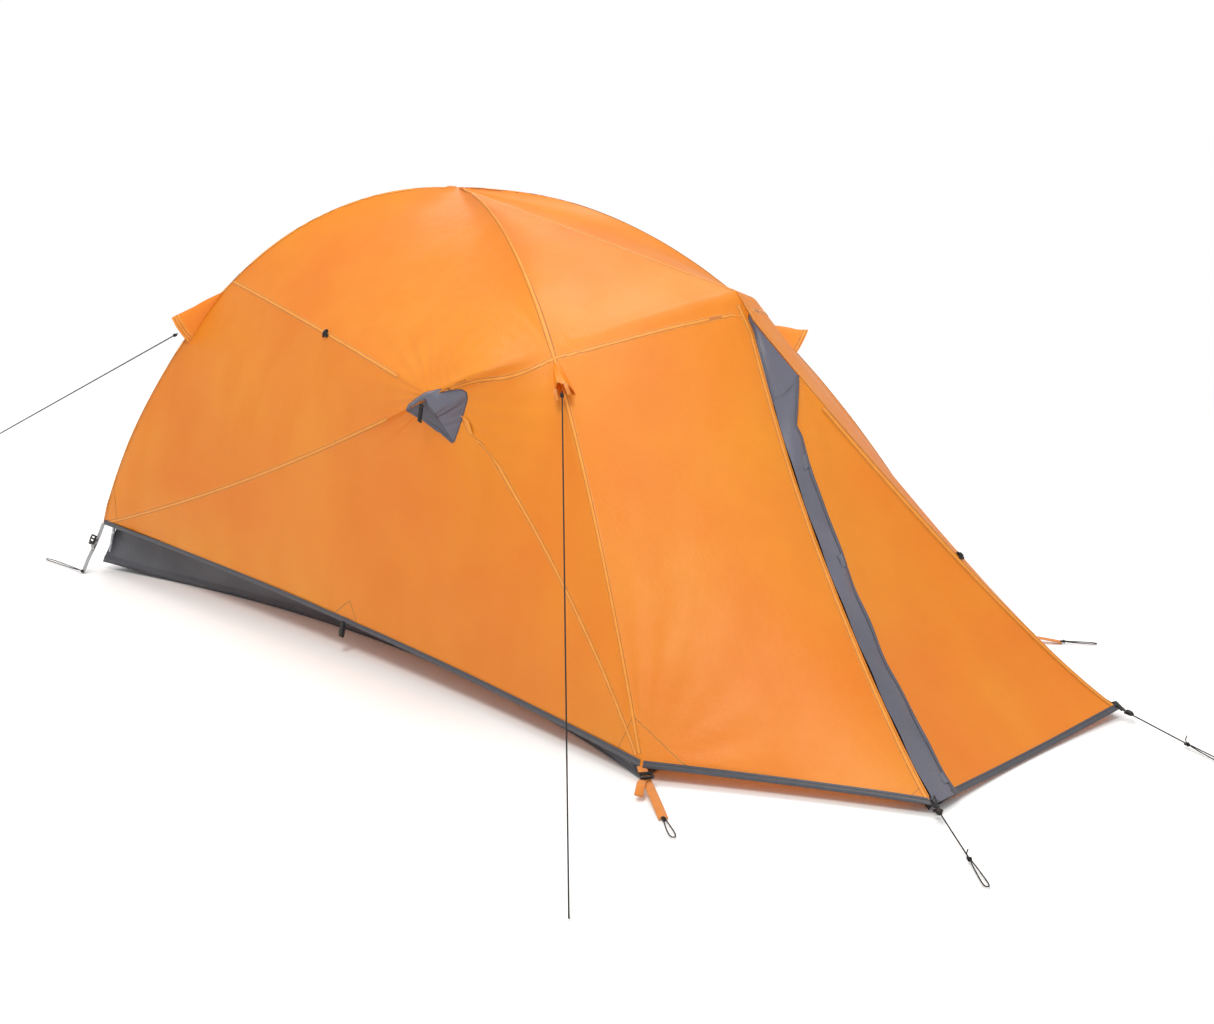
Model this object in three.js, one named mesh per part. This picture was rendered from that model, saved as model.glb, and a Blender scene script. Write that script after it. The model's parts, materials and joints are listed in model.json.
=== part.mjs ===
// Three-pole mountaineering dome tent with a pole-less front vestibule.
// Millimetres, +Z up, +X towards the vestibule, +Y towards the tent's left side.
// The origin is the middle of the sleeping floor, on the ground.
import * as THREE from 'three';
import { mergeVertices } from 'three/addons/utils/BufferGeometryUtils.js';

// ---------------------------------------------------------------- driving dimensions
const floorHalfLength = 1065;
const floorHalfWidthFront = 630;
const floorHalfWidthRear = 535;
const apexX = -155;
const apexHeight = 1090;
const browX = 774;
const browHeight = 905;
const browSlope = 0.527;            // the brow pole lies in a plane tilted forward and up
const ventPoint = [350, 545];       // x and half width where the brow pole ends
const vestibuleX = 1590;
const vestibuleHalfWidth = 368;
const frontHem = { x: 1072, halfWidth: 633, height: 30 };
const rearHem = { x: -1078, halfWidth: 540, height: 128 };
const vestibuleHemHeight = 20;
const rearSeamFraction = 0.596;     // where the upper side seam meets the rear leg
const browFraction = 0.578;         // where the brow pole crosses the front leg
const noseFraction = 0.0625;        // where door zip and ridge part below the brow
const frontLegPower = 2.28;         // how late each leg turns down: higher is squarer
const rearLegPower = 2.2;
const rearLegRound = 0.82;
const sideHemPull = 45;             // how far each hem and seam bows from a straight line
const vestibuleHemPull = 8;
const rearHemPull = 40;
const rearHemLift = 12;
const lowerSeamPull = 12;
const lowerSeamSag = -28;
const upperSeamLift = 6;
const innerSidePull = 60;
const innerRearPull = 30;

const fabric = 2.4;                 // thickness of every fabric solid
const seamGap = 1.0;                // half the clearance left at each seam
const poleRadius = 4.5;
const poleDepth = 16;               // pole centre below the fly
const crossDepth = 28;              // second pole, where it passes under the first
const browDepth = 31;
const innerDepth = 62;              // inner canopy below the fly
const tubHeight = 115;
const tubFloor = 3;
const webbingWidth = 20;
const webbing = 1.6;
const cordRadius = 1.5;
const panelSteps = 8;

// ---------------------------------------------------------------- materials
const colours = {
  fly: 0xef9433, grey: 0x6b6b78, tub: 0x4b4a50, inner: 0xd9d6cc,
  strapRear: 0xa8a8a8, strapFront: 0xef8a2e, black: 0x221f1d, pole: 0xb9bcc2,
};
const material = (colour, roughness, metalness) =>
  new THREE.MeshStandardMaterial({ color: colour, roughness, metalness, side: THREE.DoubleSide });
const flyCloth = () => material(colours.fly, 0.55, 0);
const greyCloth = () => material(colours.grey, 0.7, 0);
const tubCloth = () => material(colours.tub, 0.6, 0);
const innerCloth = () => material(colours.inner, 0.8, 0);
const blackPlastic = () => material(colours.black, 0.5, 0);
const aluminium = () => material(colours.pole, 0.35, 0.9);

const tent = new THREE.Group();

function add(name, geometry, look) {
  const mesh = new THREE.Mesh(geometry, look);
  mesh.name = name;
  tent.add(mesh);
  return mesh;
}

// ---------------------------------------------------------------- points and seams
const v = (x, y, z) => new THREE.Vector3(x, y, z);
const mix = (a, b, t) => a.clone().lerp(b, t);

const apex = v(apexX, 0, apexHeight);
const brow = v(browX, 0, browHeight);

// Unit vector from a point of the fly towards the middle of the tent.
function inward(point) {
  return v(0.55 * point.x, 0, 120).sub(point).normalize();
}

function sunk(point, depth) {
  return point.clone().addScaledVector(inward(point), depth);
}

// Legs run from the apex to the hem corners. side is -1 for the right, +1 for the left.
function frontLeg(side, t) {
  const rise = 1 - t ** frontLegPower;
  return v(
    THREE.MathUtils.lerp(apexX, frontHem.x, t),
    side * frontHem.halfWidth * t,
    THREE.MathUtils.lerp(frontHem.height, apexHeight, rise),
  );
}

function rearLeg(side, t) {
  const rise = (1 - t ** rearLegPower) ** rearLegRound;
  return v(
    THREE.MathUtils.lerp(apexX, rearHem.x, t),
    side * rearHem.halfWidth * t,
    THREE.MathUtils.lerp(rearHem.height, apexHeight, rise),
  );
}

// The brow arch on one side: from the middle of the brow over the front leg to the side vent.
function browArch(side) {
  const crossing = frontLeg(side, browFraction);
  const plan = [
    [browX, 0],
    [690, 176],
    [crossing.x, Math.abs(crossing.y)],
    [462, 500],
    ventPoint,
  ];
  const points = plan.map(([x, y]) => v(x, side * y, browHeight + browSlope * (x - browX)));
  return new THREE.CatmullRomCurve3(points);
}

const browArches = { '-1': browArch(-1), '1': browArch(1) };
const browPoint = (side, t) => browArches[side].getPoint(t);
const ventEnd = (side) => browPoint(side, 1);

// Height of the two sloping vestibule seams, as a share of the brow height.
function slopeHeight(t, power, hollow) {
  return (1 - t) ** power - hollow * 6.75 * t * (1 - t) ** 2;
}

function vestibuleSeam(side, t, power, hollow) {
  const spread = Math.max(0, (t - noseFraction) / (1 - noseFraction));
  return v(
    THREE.MathUtils.lerp(browX, vestibuleX, t),
    side * vestibuleHalfWidth * spread,
    vestibuleHemHeight + (browHeight - vestibuleHemHeight) * slopeHeight(t, power, hollow),
  );
}

const zipSeam = (t) => vestibuleSeam(-1, t, 1.2, 0.06);
const ridgeSeam = (t) => vestibuleSeam(1, t, 1.15, 0);
const slopeSeam = (side, t) => (side < 0 ? zipSeam(t) : ridgeSeam(t));

// A seam or hem between two points that bows towards the tent's middle line by the given amount.
function bowed(a, b, t, pull, lift = 0) {
  const point = mix(a, b, t);
  const belly = 4 * t * (1 - t);
  point.y -= Math.sign(a.y + b.y) * pull * belly;
  point.z += lift * belly;
  return point;
}

const rearCorner = (side) => rearLeg(side, 1);
const frontCorner = (side) => frontLeg(side, 1);
const upperSideSeam = (side, t) => (
  bowed(rearLeg(side, rearSeamFraction), ventEnd(side), t, 0, upperSeamLift)
);
const lowerSideSeam = (side, t) => (
  bowed(rearCorner(side), ventEnd(side), t, lowerSeamPull, lowerSeamSag)
);
const sideHem = (side, t) => bowed(rearCorner(side), frontCorner(side), t, sideHemPull);
const vestibuleHem = (side, t) => (
  bowed(frontCorner(side), slopeSeam(side, 1), t, vestibuleHemPull)
);

function rearHemPoint(t) {
  const point = mix(rearCorner(-1), rearCorner(1), t);
  const belly = 4 * t * (1 - t);
  return v(point.x + rearHemPull * belly, point.y, point.z + rearHemLift * belly);
}

// ---------------------------------------------------------------- closed solids
function closedGeometry(positions, triangles) {
  const geometry = new THREE.BufferGeometry();
  geometry.setAttribute('position', new THREE.Float32BufferAttribute(positions, 3));
  geometry.setIndex(triangles.flat());
  return mergeVertices(geometry, 1e-4);
}

// A thin closed solid over a grid of points. Each outer point has an inner point below it.
// keep(i, j) says which cells of the grid belong to the solid.
function sheet(grid, thickness, keep = () => true, direction = inward) {
  const rows = grid.length - 1;
  const columns = grid[0].length - 1;
  const positions = [];
  const id = (i, j, below) => 2 * (i * (columns + 1) + j) + below;
  for (const row of grid) {
    for (const point of row) {
      const under = point.clone().addScaledVector(direction(point), thickness);
      positions.push(...point.toArray(), ...under.toArray());
    }
  }
  const inside = (i, j) => i >= 0 && j >= 0 && i < rows && j < columns && keep(i, j);
  const middle = grid[rows >> 1][columns >> 1];
  const across = grid[(rows >> 1) + 1][columns >> 1].clone().sub(middle);
  const along = grid[rows >> 1][(columns >> 1) + 1].clone().sub(middle);
  const flipped = across.cross(along).dot(direction(middle)) > 0;
  const triangles = [];
  const face = (a, b, c) => triangles.push(flipped ? [a, c, b] : [a, b, c]);
  const quad = (a, b, c, d) => {
    face(a, b, c);
    face(a, c, d);
  };
  for (let i = 0; i < rows; i += 1) {
    for (let j = 0; j < columns; j += 1) {
      if (!inside(i, j)) continue;
      quad(id(i, j, 0), id(i + 1, j, 0), id(i + 1, j + 1, 0), id(i, j + 1, 0));
      quad(id(i, j, 1), id(i, j + 1, 1), id(i + 1, j + 1, 1), id(i + 1, j, 1));
      if (!inside(i - 1, j)) quad(id(i, j, 0), id(i, j + 1, 0), id(i, j + 1, 1), id(i, j, 1));
      if (!inside(i + 1, j)) {
        quad(id(i + 1, j + 1, 0), id(i + 1, j, 0), id(i + 1, j, 1), id(i + 1, j + 1, 1));
      }
      if (!inside(i, j - 1)) quad(id(i + 1, j, 0), id(i, j, 0), id(i, j, 1), id(i + 1, j, 1));
      if (!inside(i, j + 1)) {
        quad(id(i, j + 1, 0), id(i + 1, j + 1, 0), id(i + 1, j + 1, 1), id(i, j + 1, 1));
      }
    }
  }
  return closedGeometry(positions, compact(positions, triangles));
}

// Drops corners that no triangle uses by folding them onto a used corner.
function compact(positions, triangles) {
  const used = new Set(triangles.flat());
  const spare = triangles[0][0];
  for (let index = 0; index < positions.length / 3; index += 1) {
    if (used.has(index)) continue;
    for (let k = 0; k < 3; k += 1) positions[3 * index + k] = positions[3 * spare + k];
  }
  return triangles;
}

// A surface point between four edge curves (Coons patch). left and right run with u, and
// start and end run with w.
function coons(left, right, start, end, u, w) {
  const point = v(0, 0, 0);
  point.addScaledVector(left(u), 1 - w).addScaledVector(right(u), w);
  point.addScaledVector(start(w), 1 - u).addScaledVector(end(w), u);
  point.addScaledVector(left(0), -(1 - u) * (1 - w)).addScaledVector(right(0), -(1 - u) * w);
  point.addScaledVector(left(1), -u * (1 - w)).addScaledVector(right(1), -u * w);
  return point;
}

const lengthOf = (curve) => curve(0).distanceTo(curve(0.5)) + curve(0.5).distanceTo(curve(1));

// Stretched cloth: every inner point settles at the average of its four neighbours.
function stretch(grid, rounds = 80) {
  for (let round = 0; round < rounds; round += 1) {
    for (let i = 1; i < grid.length - 1; i += 1) {
      for (let j = 1; j < grid[i].length - 1; j += 1) {
        const sum = grid[i - 1][j].clone().add(grid[i + 1][j]);
        grid[i][j].copy(sum.add(grid[i][j - 1]).add(grid[i][j + 1]).multiplyScalar(0.25));
      }
    }
  }
  return grid;
}

// Grid of a panel whose edges stop a little short of its seams.
function panelGrid(left, right, start, end, rows = panelSteps, columns = panelSteps) {
  const insetU = seamGap / Math.max(lengthOf(left), lengthOf(right));
  const insetW = seamGap / Math.max(lengthOf(start), lengthOf(end));
  const closingStart = start(0).distanceTo(start(1)) < 1 ? 12 : 1;
  const closingEnd = end(0).distanceTo(end(1)) < 1 ? 12 : 1;
  const grid = [];
  for (let i = 0; i <= rows; i += 1) {
    const u = THREE.MathUtils.lerp(insetU * closingStart, 1 - insetU * closingEnd, i / rows);
    const row = [];
    for (let j = 0; j <= columns; j += 1) {
      const w = THREE.MathUtils.lerp(insetW, 1 - insetW, j / columns);
      row.push(coons(left, right, start, end, u, w));
    }
    grid.push(row);
  }
  return stretch(grid);
}

// A round bar along a curve, closed at both ends.
function bar(curve, radius, steps, sides = 8) {
  const outline = new THREE.Shape();
  for (let k = 0; k < sides; k += 1) {
    const angle = (2 * Math.PI * k) / sides;
    const move = k === 0 ? 'moveTo' : 'lineTo';
    outline[move](radius * Math.cos(angle), radius * Math.sin(angle));
  }
  outline.closePath();
  return new THREE.ExtrudeGeometry(outline, { steps, extrudePath: curve, bevelEnabled: false });
}

// A flat plate with a rounded outline, lying in XY and centred on the origin.
function plate(width, height, thickness, holes = []) {
  const outline = new THREE.Shape();
  const corner = Math.min(width, height) * 0.18;
  const w = width / 2;
  const h = height / 2;
  outline.moveTo(-w + corner, -h);
  outline.lineTo(w - corner, -h);
  outline.lineTo(w, -h + corner);
  outline.lineTo(w, h - corner);
  outline.lineTo(w - corner, h);
  outline.lineTo(-w + corner, h);
  outline.lineTo(-w, h - corner);
  outline.lineTo(-w, -h + corner);
  outline.closePath();
  for (const [x0, y0, x1, y1] of holes) {
    const hole = new THREE.Path();
    hole.moveTo(x0, y0);
    hole.lineTo(x0, y1);
    hole.lineTo(x1, y1);
    hole.lineTo(x1, y0);
    hole.closePath();
    outline.holes.push(hole);
  }
  const geometry = new THREE.ExtrudeGeometry(outline, { depth: thickness, bevelEnabled: false });
  return geometry.translate(0, 0, -thickness / 2);
}

// Places geometry with its X axis across, its Y axis along and its Z axis out of a surface.
function placed(geometry, origin, along, out) {
  const y = along.clone().normalize();
  const z = out.clone().addScaledVector(y, -out.dot(y)).normalize();
  const x = y.clone().cross(z);
  const frame = new THREE.Matrix4().makeBasis(x, y, z).setPosition(origin);
  return geometry.applyMatrix4(frame);
}

// A strip of webbing through a row of points, with the given width direction.
function strip(points, across, width, thickness) {
  const grid = points.map((point) => [
    point.clone().addScaledVector(across, -width / 2),
    point.clone().addScaledVector(across, width / 2),
  ]);
  const along = points[points.length - 1].clone().sub(points[0]);
  const down = along.cross(across).normalize();
  if (down.z > 0) down.negate();
  return sheet(grid, thickness, () => true, () => down);
}

// ---------------------------------------------------------------- poles
function subCurve(pointAt, from, to, count = 12) {
  const points = [];
  for (let k = 0; k <= count; k += 1) points.push(pointAt(from + ((to - from) * k) / count));
  return new THREE.CatmullRomCurve3(points);
}

// One diagonal pole: s = -1 at the front foot, 0 at the apex, +1 at the opposite rear foot.
function diagonal(side, extraDepth) {
  const frontFoot = v(floorHalfLength - 14, side * (floorHalfWidthFront - 12), 42);
  const rearFoot = v(-floorHalfLength + 2, -side * (floorHalfWidthRear - 4), 42);
  return (s) => {
    const t = Math.abs(s);
    const seam = s < 0 ? frontLeg(side, t) : rearLeg(-side, t);
    const point = sunk(seam, poleDepth + extraDepth * (1 - t) ** 2);
    const foot = s < 0 ? frontFoot : rearFoot;
    const settle = THREE.MathUtils.smoothstep(t, 0.9, 1);
    return point.lerp(foot, settle);
  };
}

const poleBreaks = [-0.985, -0.42, 0.4, 0.985];
const poleGap = 0.0012;
const poleNames = ['front', 'middle', 'rear'];
const browGap = 0.014;
const tipLength = 20;

function addTip(name, point, direction) {
  const start = point.clone().addScaledVector(direction, 0.6);
  const end = point.clone().addScaledVector(direction, tipLength);
  add(name, bar(new THREE.LineCurve3(start, end), poleRadius * 0.75, 1), blackPlastic());
}

function diagonalPole(label, side, extraDepth) {
  const path = diagonal(side, extraDepth);
  const curves = poleNames.map((_, k) => (
    subCurve(path, poleBreaks[k] + poleGap, poleBreaks[k + 1] - poleGap)
  ));
  curves.forEach((curve, k) => {
    add(`pole_${label}_${poleNames[k]}`, bar(curve, poleRadius, 14), aluminium());
  });
  addTip(`pole_tip_${label}_front`, curves[0].getPoint(0), curves[0].getTangent(0).negate());
  addTip(`pole_tip_${label}_rear`, curves[2].getPoint(1), curves[2].getTangent(1));
}

diagonalPole('a', -1, 0);
diagonalPole('b', 1, crossDepth - poleDepth);

// The brow pole stays a little inside its arch, because the walls drop straight down from it.
const browPolePoint = (side, t) => sunk(browPoint(side, t), browDepth).multiply(v(1, 0.955, 1));

for (const side of [-1, 1]) {
  const path = (t) => browPolePoint(side, t);
  const curve = subCurve(path, browGap, 0.955);
  add(`brow_pole_${side < 0 ? 'right' : 'left'}`, bar(curve, poleRadius, 16), aluminium());
}

// A clip is a block just inside two crossing poles.
const clipSize = [26, 34, 6];
const clipDrop = 5.5;

function addClip(name, poleCentre, along) {
  const into = inward(poleCentre);
  const centre = poleCentre.clone().addScaledVector(into, poleRadius + clipDrop);
  add(name, placed(plate(...clipSize), centre, along, into.negate()), blackPlastic());
}

addClip('apex_clip', sunk(apex, crossDepth), v(1, 0, 0));

// ---------------------------------------------------------------- sides
for (const side of [-1, 1]) {
  const hand = side < 0 ? 'right' : 'left';
  const legFront = (from, to) => (t) => frontLeg(side, THREE.MathUtils.lerp(from, to, t));
  const legRear = (from, to) => (t) => rearLeg(side, THREE.MathUtils.lerp(from, to, t));
  const browSpan = (from, to) => (t) => browPoint(side, THREE.MathUtils.lerp(from, to, t));

  addClip(`brow_clip_${hand}`, browPolePoint(side, 0.5), v(0.7, -side * 0.7, 0));

  add(`fly_roof_${hand}`, sheet(panelGrid(
    legRear(0, rearSeamFraction),
    legFront(0, browFraction),
    () => apex,
    (t) => (t < 0.5 ? upperSideSeam(side, 2 * t) : browPoint(side, 1.5 - t)),
    panelSteps,
    2 * panelSteps,
  ), fabric), flyCloth());

  add(`fly_rear_side_${hand}`, sheet(panelGrid(
    legRear(rearSeamFraction, 1),
    () => ventEnd(side),
    (t) => upperSideSeam(side, t),
    (t) => lowerSideSeam(side, t),
  ), fabric), flyCloth());

  add(`fly_lower_side_${hand}`, sheet(panelGrid(
    (t) => lowerSideSeam(side, 1 - t),
    (t) => frontLeg(side, THREE.MathUtils.lerp(browFraction, 1, t)),
    (t) => browPoint(side, 1 - 0.5 * t),
    (t) => sideHem(side, t),
  ), fabric), flyCloth());

  add(`vestibule_side_${hand}`, sheet(panelGrid(
    legFront(browFraction, 1),
    (t) => slopeSeam(side, t),
    browSpan(0.5, 0),
    (t) => vestibuleHem(side, t),
  ), fabric), flyCloth());
}

// The front roof is two panels joined by a straight seam from the apex to the brow.
function frontRoofHalf(side) {
  return panelGrid(
    (t) => frontLeg(side, browFraction * t),
    (t) => mix(apex, brow, t),
    () => apex,
    (t) => browPoint(side, 0.5 * (1 - t)),
  );
}

const roofLeft = frontRoofHalf(1);
const roofFront = frontRoofHalf(-1).map((row, i) => {
  const seam = mix(row[panelSteps], roofLeft[i][panelSteps], 0.5);
  return [...row.slice(0, -1), seam, ...roofLeft[i].slice(0, -1).reverse()];
});
add('fly_roof_front', sheet(roofFront, fabric), flyCloth());

add('fly_rear', sheet(panelGrid(
  (t) => rearLeg(-1, t),
  (t) => rearLeg(1, t),
  () => apex,
  rearHemPoint,
  2 * panelSteps,
), fabric), flyCloth());

// ---------------------------------------------------------------- vestibule door
const doorTop = 0.18;               // the door starts this far down the zip
const doorBottom = 0.997;
const flapWidthTop = 60;
const flapWidthBottom = 84;
const zipWidth = (t) => zipSeam(t).distanceTo(ridgeSeam(t));
const flapWidth = (t) => THREE.MathUtils.lerp(flapWidthTop, flapWidthBottom, t);

// Rows down the slope between two distances from the zip, measured across the door opening.
function doorStrip(fromTop, toBottom, near, far, columns, rows = 12) {
  const grid = [];
  for (let i = 0; i <= rows; i += 1) {
    const t = THREE.MathUtils.lerp(fromTop, toBottom, i / rows);
    const row = [];
    for (let j = 0; j <= columns; j += 1) {
      const across = THREE.MathUtils.lerp(near(t), far(t), j / columns);
      row.push(mix(zipSeam(t), ridgeSeam(t), across / zipWidth(t)));
    }
    grid.push(row);
  }
  return grid;
}

const ridgeEdge = (t) => zipWidth(t) - seamGap;
add('zip_hood', sheet(doorStrip(0.085, doorTop - 0.007, () => seamGap, ridgeEdge, 2, 3), fabric),
  greyCloth());
add('storm_flap', sheet(doorStrip(doorTop, doorBottom, () => 1.5 * seamGap, flapWidth, 2), fabric),
  greyCloth());
add('vestibule_door', sheet(
  doorStrip(doorTop, doorBottom, (t) => flapWidth(t) + 2 * seamGap, ridgeEdge, 6),
  fabric,
), flyCloth());

// The slider sits under the flap, near the bottom of the zip.
const sliderDepth = 22;
const sliderFromZip = 14;
const sliderSize = [9, 14, 6];
const pullSize = [6, 24, 2];
const pullDrop = 20;                // pull centre below the slider centre
const sliderAt = (t) => (
  sunk(mix(zipSeam(t), ridgeSeam(t), sliderFromZip / zipWidth(t)), sliderDepth)
);
const sliderBottom = sliderAt(0.93);
const sliderTravel = sliderAt(0.5).sub(sliderBottom);
const sliderOut = inward(sliderBottom).negate();
add('zip_slider', placed(plate(...sliderSize), sliderBottom, sliderTravel, sliderOut), blackPlastic());
const pullCentre = sliderBottom.clone().addScaledVector(sliderTravel.clone().normalize(), -pullDrop);
add('zip_pull', placed(plate(...pullSize), pullCentre, sliderTravel, sliderOut), blackPlastic());

// ---------------------------------------------------------------- guy-out hoods
const hoodWidth = 62;
const hoodRise = 55;
const hoodClear = 10;
const leanForward = 0.00012;        // how far a hood leans towards the tent's end

// A fabric hood over a leg seam: flat at its top, arched at its open lower lip.
function hoodSheet(side, leg, from, to) {
  const rows = 2;
  const columns = 8;
  const grid = [];
  for (let i = 0; i <= rows; i += 1) {
    const share = i / rows;
    const t = THREE.MathUtils.lerp(from, to, share);
    const centre = leg(t);
    const out = inward(centre).negate().setX(leanForward * centre.x).normalize();
    const down = leg(t + 0.01).sub(leg(t - 0.01)).normalize();
    const across = down.clone().cross(out).setLength(-side);
    const half = (hoodWidth / 2) * (0.3 + 0.7 * share);
    const row = [];
    for (let j = 0; j <= columns; j += 1) {
      const place = (2 * j) / columns - 1;
      const rise = hoodClear + hoodRise * share * (1 - place ** 2);
      const point = centre.clone().addScaledVector(across, half * place);
      row.push(point.addScaledVector(out, rise));
    }
    grid.push(row);
  }
  return sheet(grid, fabric);
}

const frontHoodSpan = [0.592, 0.645];
const rearHoodSpan = [0.625, 0.73];

function lipCentre(leg, t) {
  const point = leg(t);
  const out = inward(point).negate().setX(leanForward * point.x).normalize();
  return point.addScaledVector(out, 0.5 * hoodRise);
}

for (const side of [-1, 1]) {
  const hand = side < 0 ? 'right' : 'left';
  const front = (t) => frontLeg(side, t);
  const rear = (t) => rearLeg(side, t);
  add(`guy_hood_front_${hand}`, hoodSheet(side, front, ...frontHoodSpan), flyCloth());
  add(`guy_hood_rear_${hand}`, hoodSheet(side, rear, ...rearHoodSpan), flyCloth());
}

const guyFrontStart = lipCentre((t) => frontLeg(-1, t), frontHoodSpan[1] + 0.006);
const guyRearStart = lipCentre((t) => rearLeg(-1, t), rearHoodSpan[1] + 0.008);
const guyFrontEnd = v(1386, -1162, 3);
const guyRearEnd = v(-2200, -741, 3);
const cord = (from, to) => bar(new THREE.LineCurve3(from, to), cordRadius, 1, 6);
add('guyline_front', cord(guyFrontStart, guyFrontEnd), blackPlastic());
add('guyline_rear', cord(guyRearStart, guyRearEnd), blackPlastic());

// ---------------------------------------------------------------- side vents
// Points round a vent from the brow pole's end: forward, outward, upward.
const ventSewnEdge = [[-36, 12, -24], [6, 12, 12], [84, -14, 50], [76, 4, -14], [58, 10, -76]];
const ventLip = [[-50, 30, -32], [-26, 50, -12], [0, 60, -20], [26, 52, -48], [48, 26, -82]];
const strutFoot = [-14, 16, -44];
const strutLength = 26;
const strutSize = [10, strutLength, 3];

for (const side of [-1, 1]) {
  const hand = side < 0 ? 'right' : 'left';
  const end = ventEnd(side);
  const at = ([forward, outward, upward]) => end.clone().add(v(forward, side * outward, upward));
  const grid = [0, 0.5, 1].map((share) => ventSewnEdge.map((edge, k) => (
    mix(at(edge), at(ventLip[k]), share)
  )));
  add(`vent_hood_${hand}`, sheet(grid, 2), greyCloth());
  const reach = v(0.1, side * 0.9, 0.25).normalize();
  const centre = at(strutFoot).addScaledVector(reach, strutLength / 2);
  const strut = placed(plate(...strutSize), centre, reach, v(0, 0, 1));
  add(`vent_strut_${hand}`, strut, blackPlastic());
}

// ---------------------------------------------------------------- sleeping floor
// The tub's outline at a given height share: 0 at the ground, 1 at the rim.
function tubOutline(share, shrink = 0) {
  const grow = THREE.MathUtils.lerp(-10, -84, share);
  const x = floorHalfLength + grow - shrink;
  const corners = [
    v(-x, -(floorHalfWidthRear + grow - shrink), 0),
    v(x, -(floorHalfWidthFront + grow - shrink), 0),
    v(x, floorHalfWidthFront + grow - shrink, 0),
    v(-x, floorHalfWidthRear + grow - shrink, 0),
  ];
  const pulls = [150, 40, 150, 60].map((pull) => THREE.MathUtils.lerp(pull, 0.45 * pull, share));
  const perSide = 8;
  const outline = [];
  corners.forEach((corner, k) => {
    const next = corners[(k + 1) % 4];
    const inwards = v(corner.y - next.y, next.x - corner.x, 0).normalize();
    for (let n = 0; n < perSide; n += 1) {
      const t = n / perSide;
      outline.push(mix(corner, next, t).addScaledVector(inwards, pulls[k] * 4 * t * (1 - t)));
    }
  });
  return outline;
}

function tubGeometry() {
  const raise = (outline, z) => outline.map((point) => v(point.x, point.y, z));
  const rings = [
    raise(tubOutline(0), 0),
    raise(tubOutline(1), tubHeight),
    raise(tubOutline(1, tubFloor), tubHeight),
    raise(tubOutline(0, tubFloor), tubFloor),
  ];
  const count = rings[0].length;
  const points = [...rings.flat(), v(0, 0, 0), v(0, 0, tubFloor)];
  const under = 4 * count;
  const above = under + 1;
  const triangles = [];
  for (let n = 0; n < count; n += 1) {
    const m = (n + 1) % count;
    triangles.push([under, m, n], [above, 3 * count + n, 3 * count + m]);
    for (let ring = 0; ring < 3; ring += 1) {
      const low = ring * count;
      const high = low + count;
      triangles.push([low + n, low + m, high + m], [low + n, high + m, high + n]);
    }
  }
  return closedGeometry(points.flatMap((point) => point.toArray()), triangles);
}

add('floor_tub', tubGeometry(), tubCloth());

// ---------------------------------------------------------------- inner canopy
const innerFrontEnd = 0.945;
const innerRearEnd = 0.985;
const innerFront = (side, t) => sunk(frontLeg(side, innerFrontEnd * t), innerDepth);
const innerRear = (side, t) => sunk(rearLeg(side, innerRearEnd * t), innerDepth);
const innerApex = sunk(apex, innerDepth);
const innerRows = 8;
const innerColumns = 6;

function acrossHem(a, b, t, pull) {
  const point = mix(a, b, t);
  point.x -= Math.sign(a.x) * pull * 4 * t * (1 - t);
  return point;
}

for (const side of [-1, 1]) {
  add(`inner_wall_${side < 0 ? 'right' : 'left'}`, sheet(panelGrid(
    (t) => innerRear(side, t),
    (t) => innerFront(side, t),
    () => innerApex,
    (t) => bowed(innerRear(side, 1), innerFront(side, 1), t, innerSidePull),
    innerRows,
    innerColumns,
  ), fabric), innerCloth());
}

add('inner_wall_rear', sheet(panelGrid(
  (t) => innerRear(-1, t),
  (t) => innerRear(1, t),
  () => innerApex,
  (t) => acrossHem(innerRear(-1, 1), innerRear(1, 1), t, innerRearPull),
  innerRows,
  innerColumns,
), fabric), innerCloth());

// The front wall is a panel with a doorway, and the inner door fills the doorway.
const frontGrid = panelGrid(
  (t) => innerFront(-1, t),
  (t) => innerFront(1, t),
  () => innerApex,
  (t) => acrossHem(innerFront(-1, 1), innerFront(1, 1), t, 0),
  innerRows,
  innerColumns,
);
const doorway = { top: 3, bottom: 7, first: 1, last: 5 };
const outsideDoorway = (i, j) => (
  i < doorway.top || i >= doorway.bottom || j < doorway.first || j >= doorway.last
);
add('inner_wall_front', sheet(frontGrid, fabric, outsideDoorway), innerCloth());

function innerDoorGrid() {
  const clearance = 0.03;
  const last = innerRows - doorway.top - 1;
  const grid = [];
  for (let i = doorway.top; i <= doorway.bottom; i += 1) {
    const row = frontGrid[i].slice(doorway.first, doorway.last + 1).map((point) => point.clone());
    const width = row.length - 1;
    const edges = [mix(row[0], row[1], clearance), mix(row[width], row[width - 1], clearance)];
    row[0] = edges[0];
    row[width] = edges[1];
    grid.push(row);
  }
  grid[0] = grid[0].map((point, j) => mix(point, grid[1][j], 1.2 * clearance));
  grid[last] = grid[last].map((point, j) => mix(point, grid[last - 1][j], clearance));
  return grid;
}

add('inner_door', sheet(innerDoorGrid(), fabric), innerCloth());

// ---------------------------------------------------------------- corner webbing
const rearStake = { x: -1085, y: 606 };
const frontStake = { x: 1228, y: 744 };
const ladderSize = [26, 20, 4];
const ladderWindows = [[-9, -6, 9, -1], [-9, 1, 9, 6]];

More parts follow.
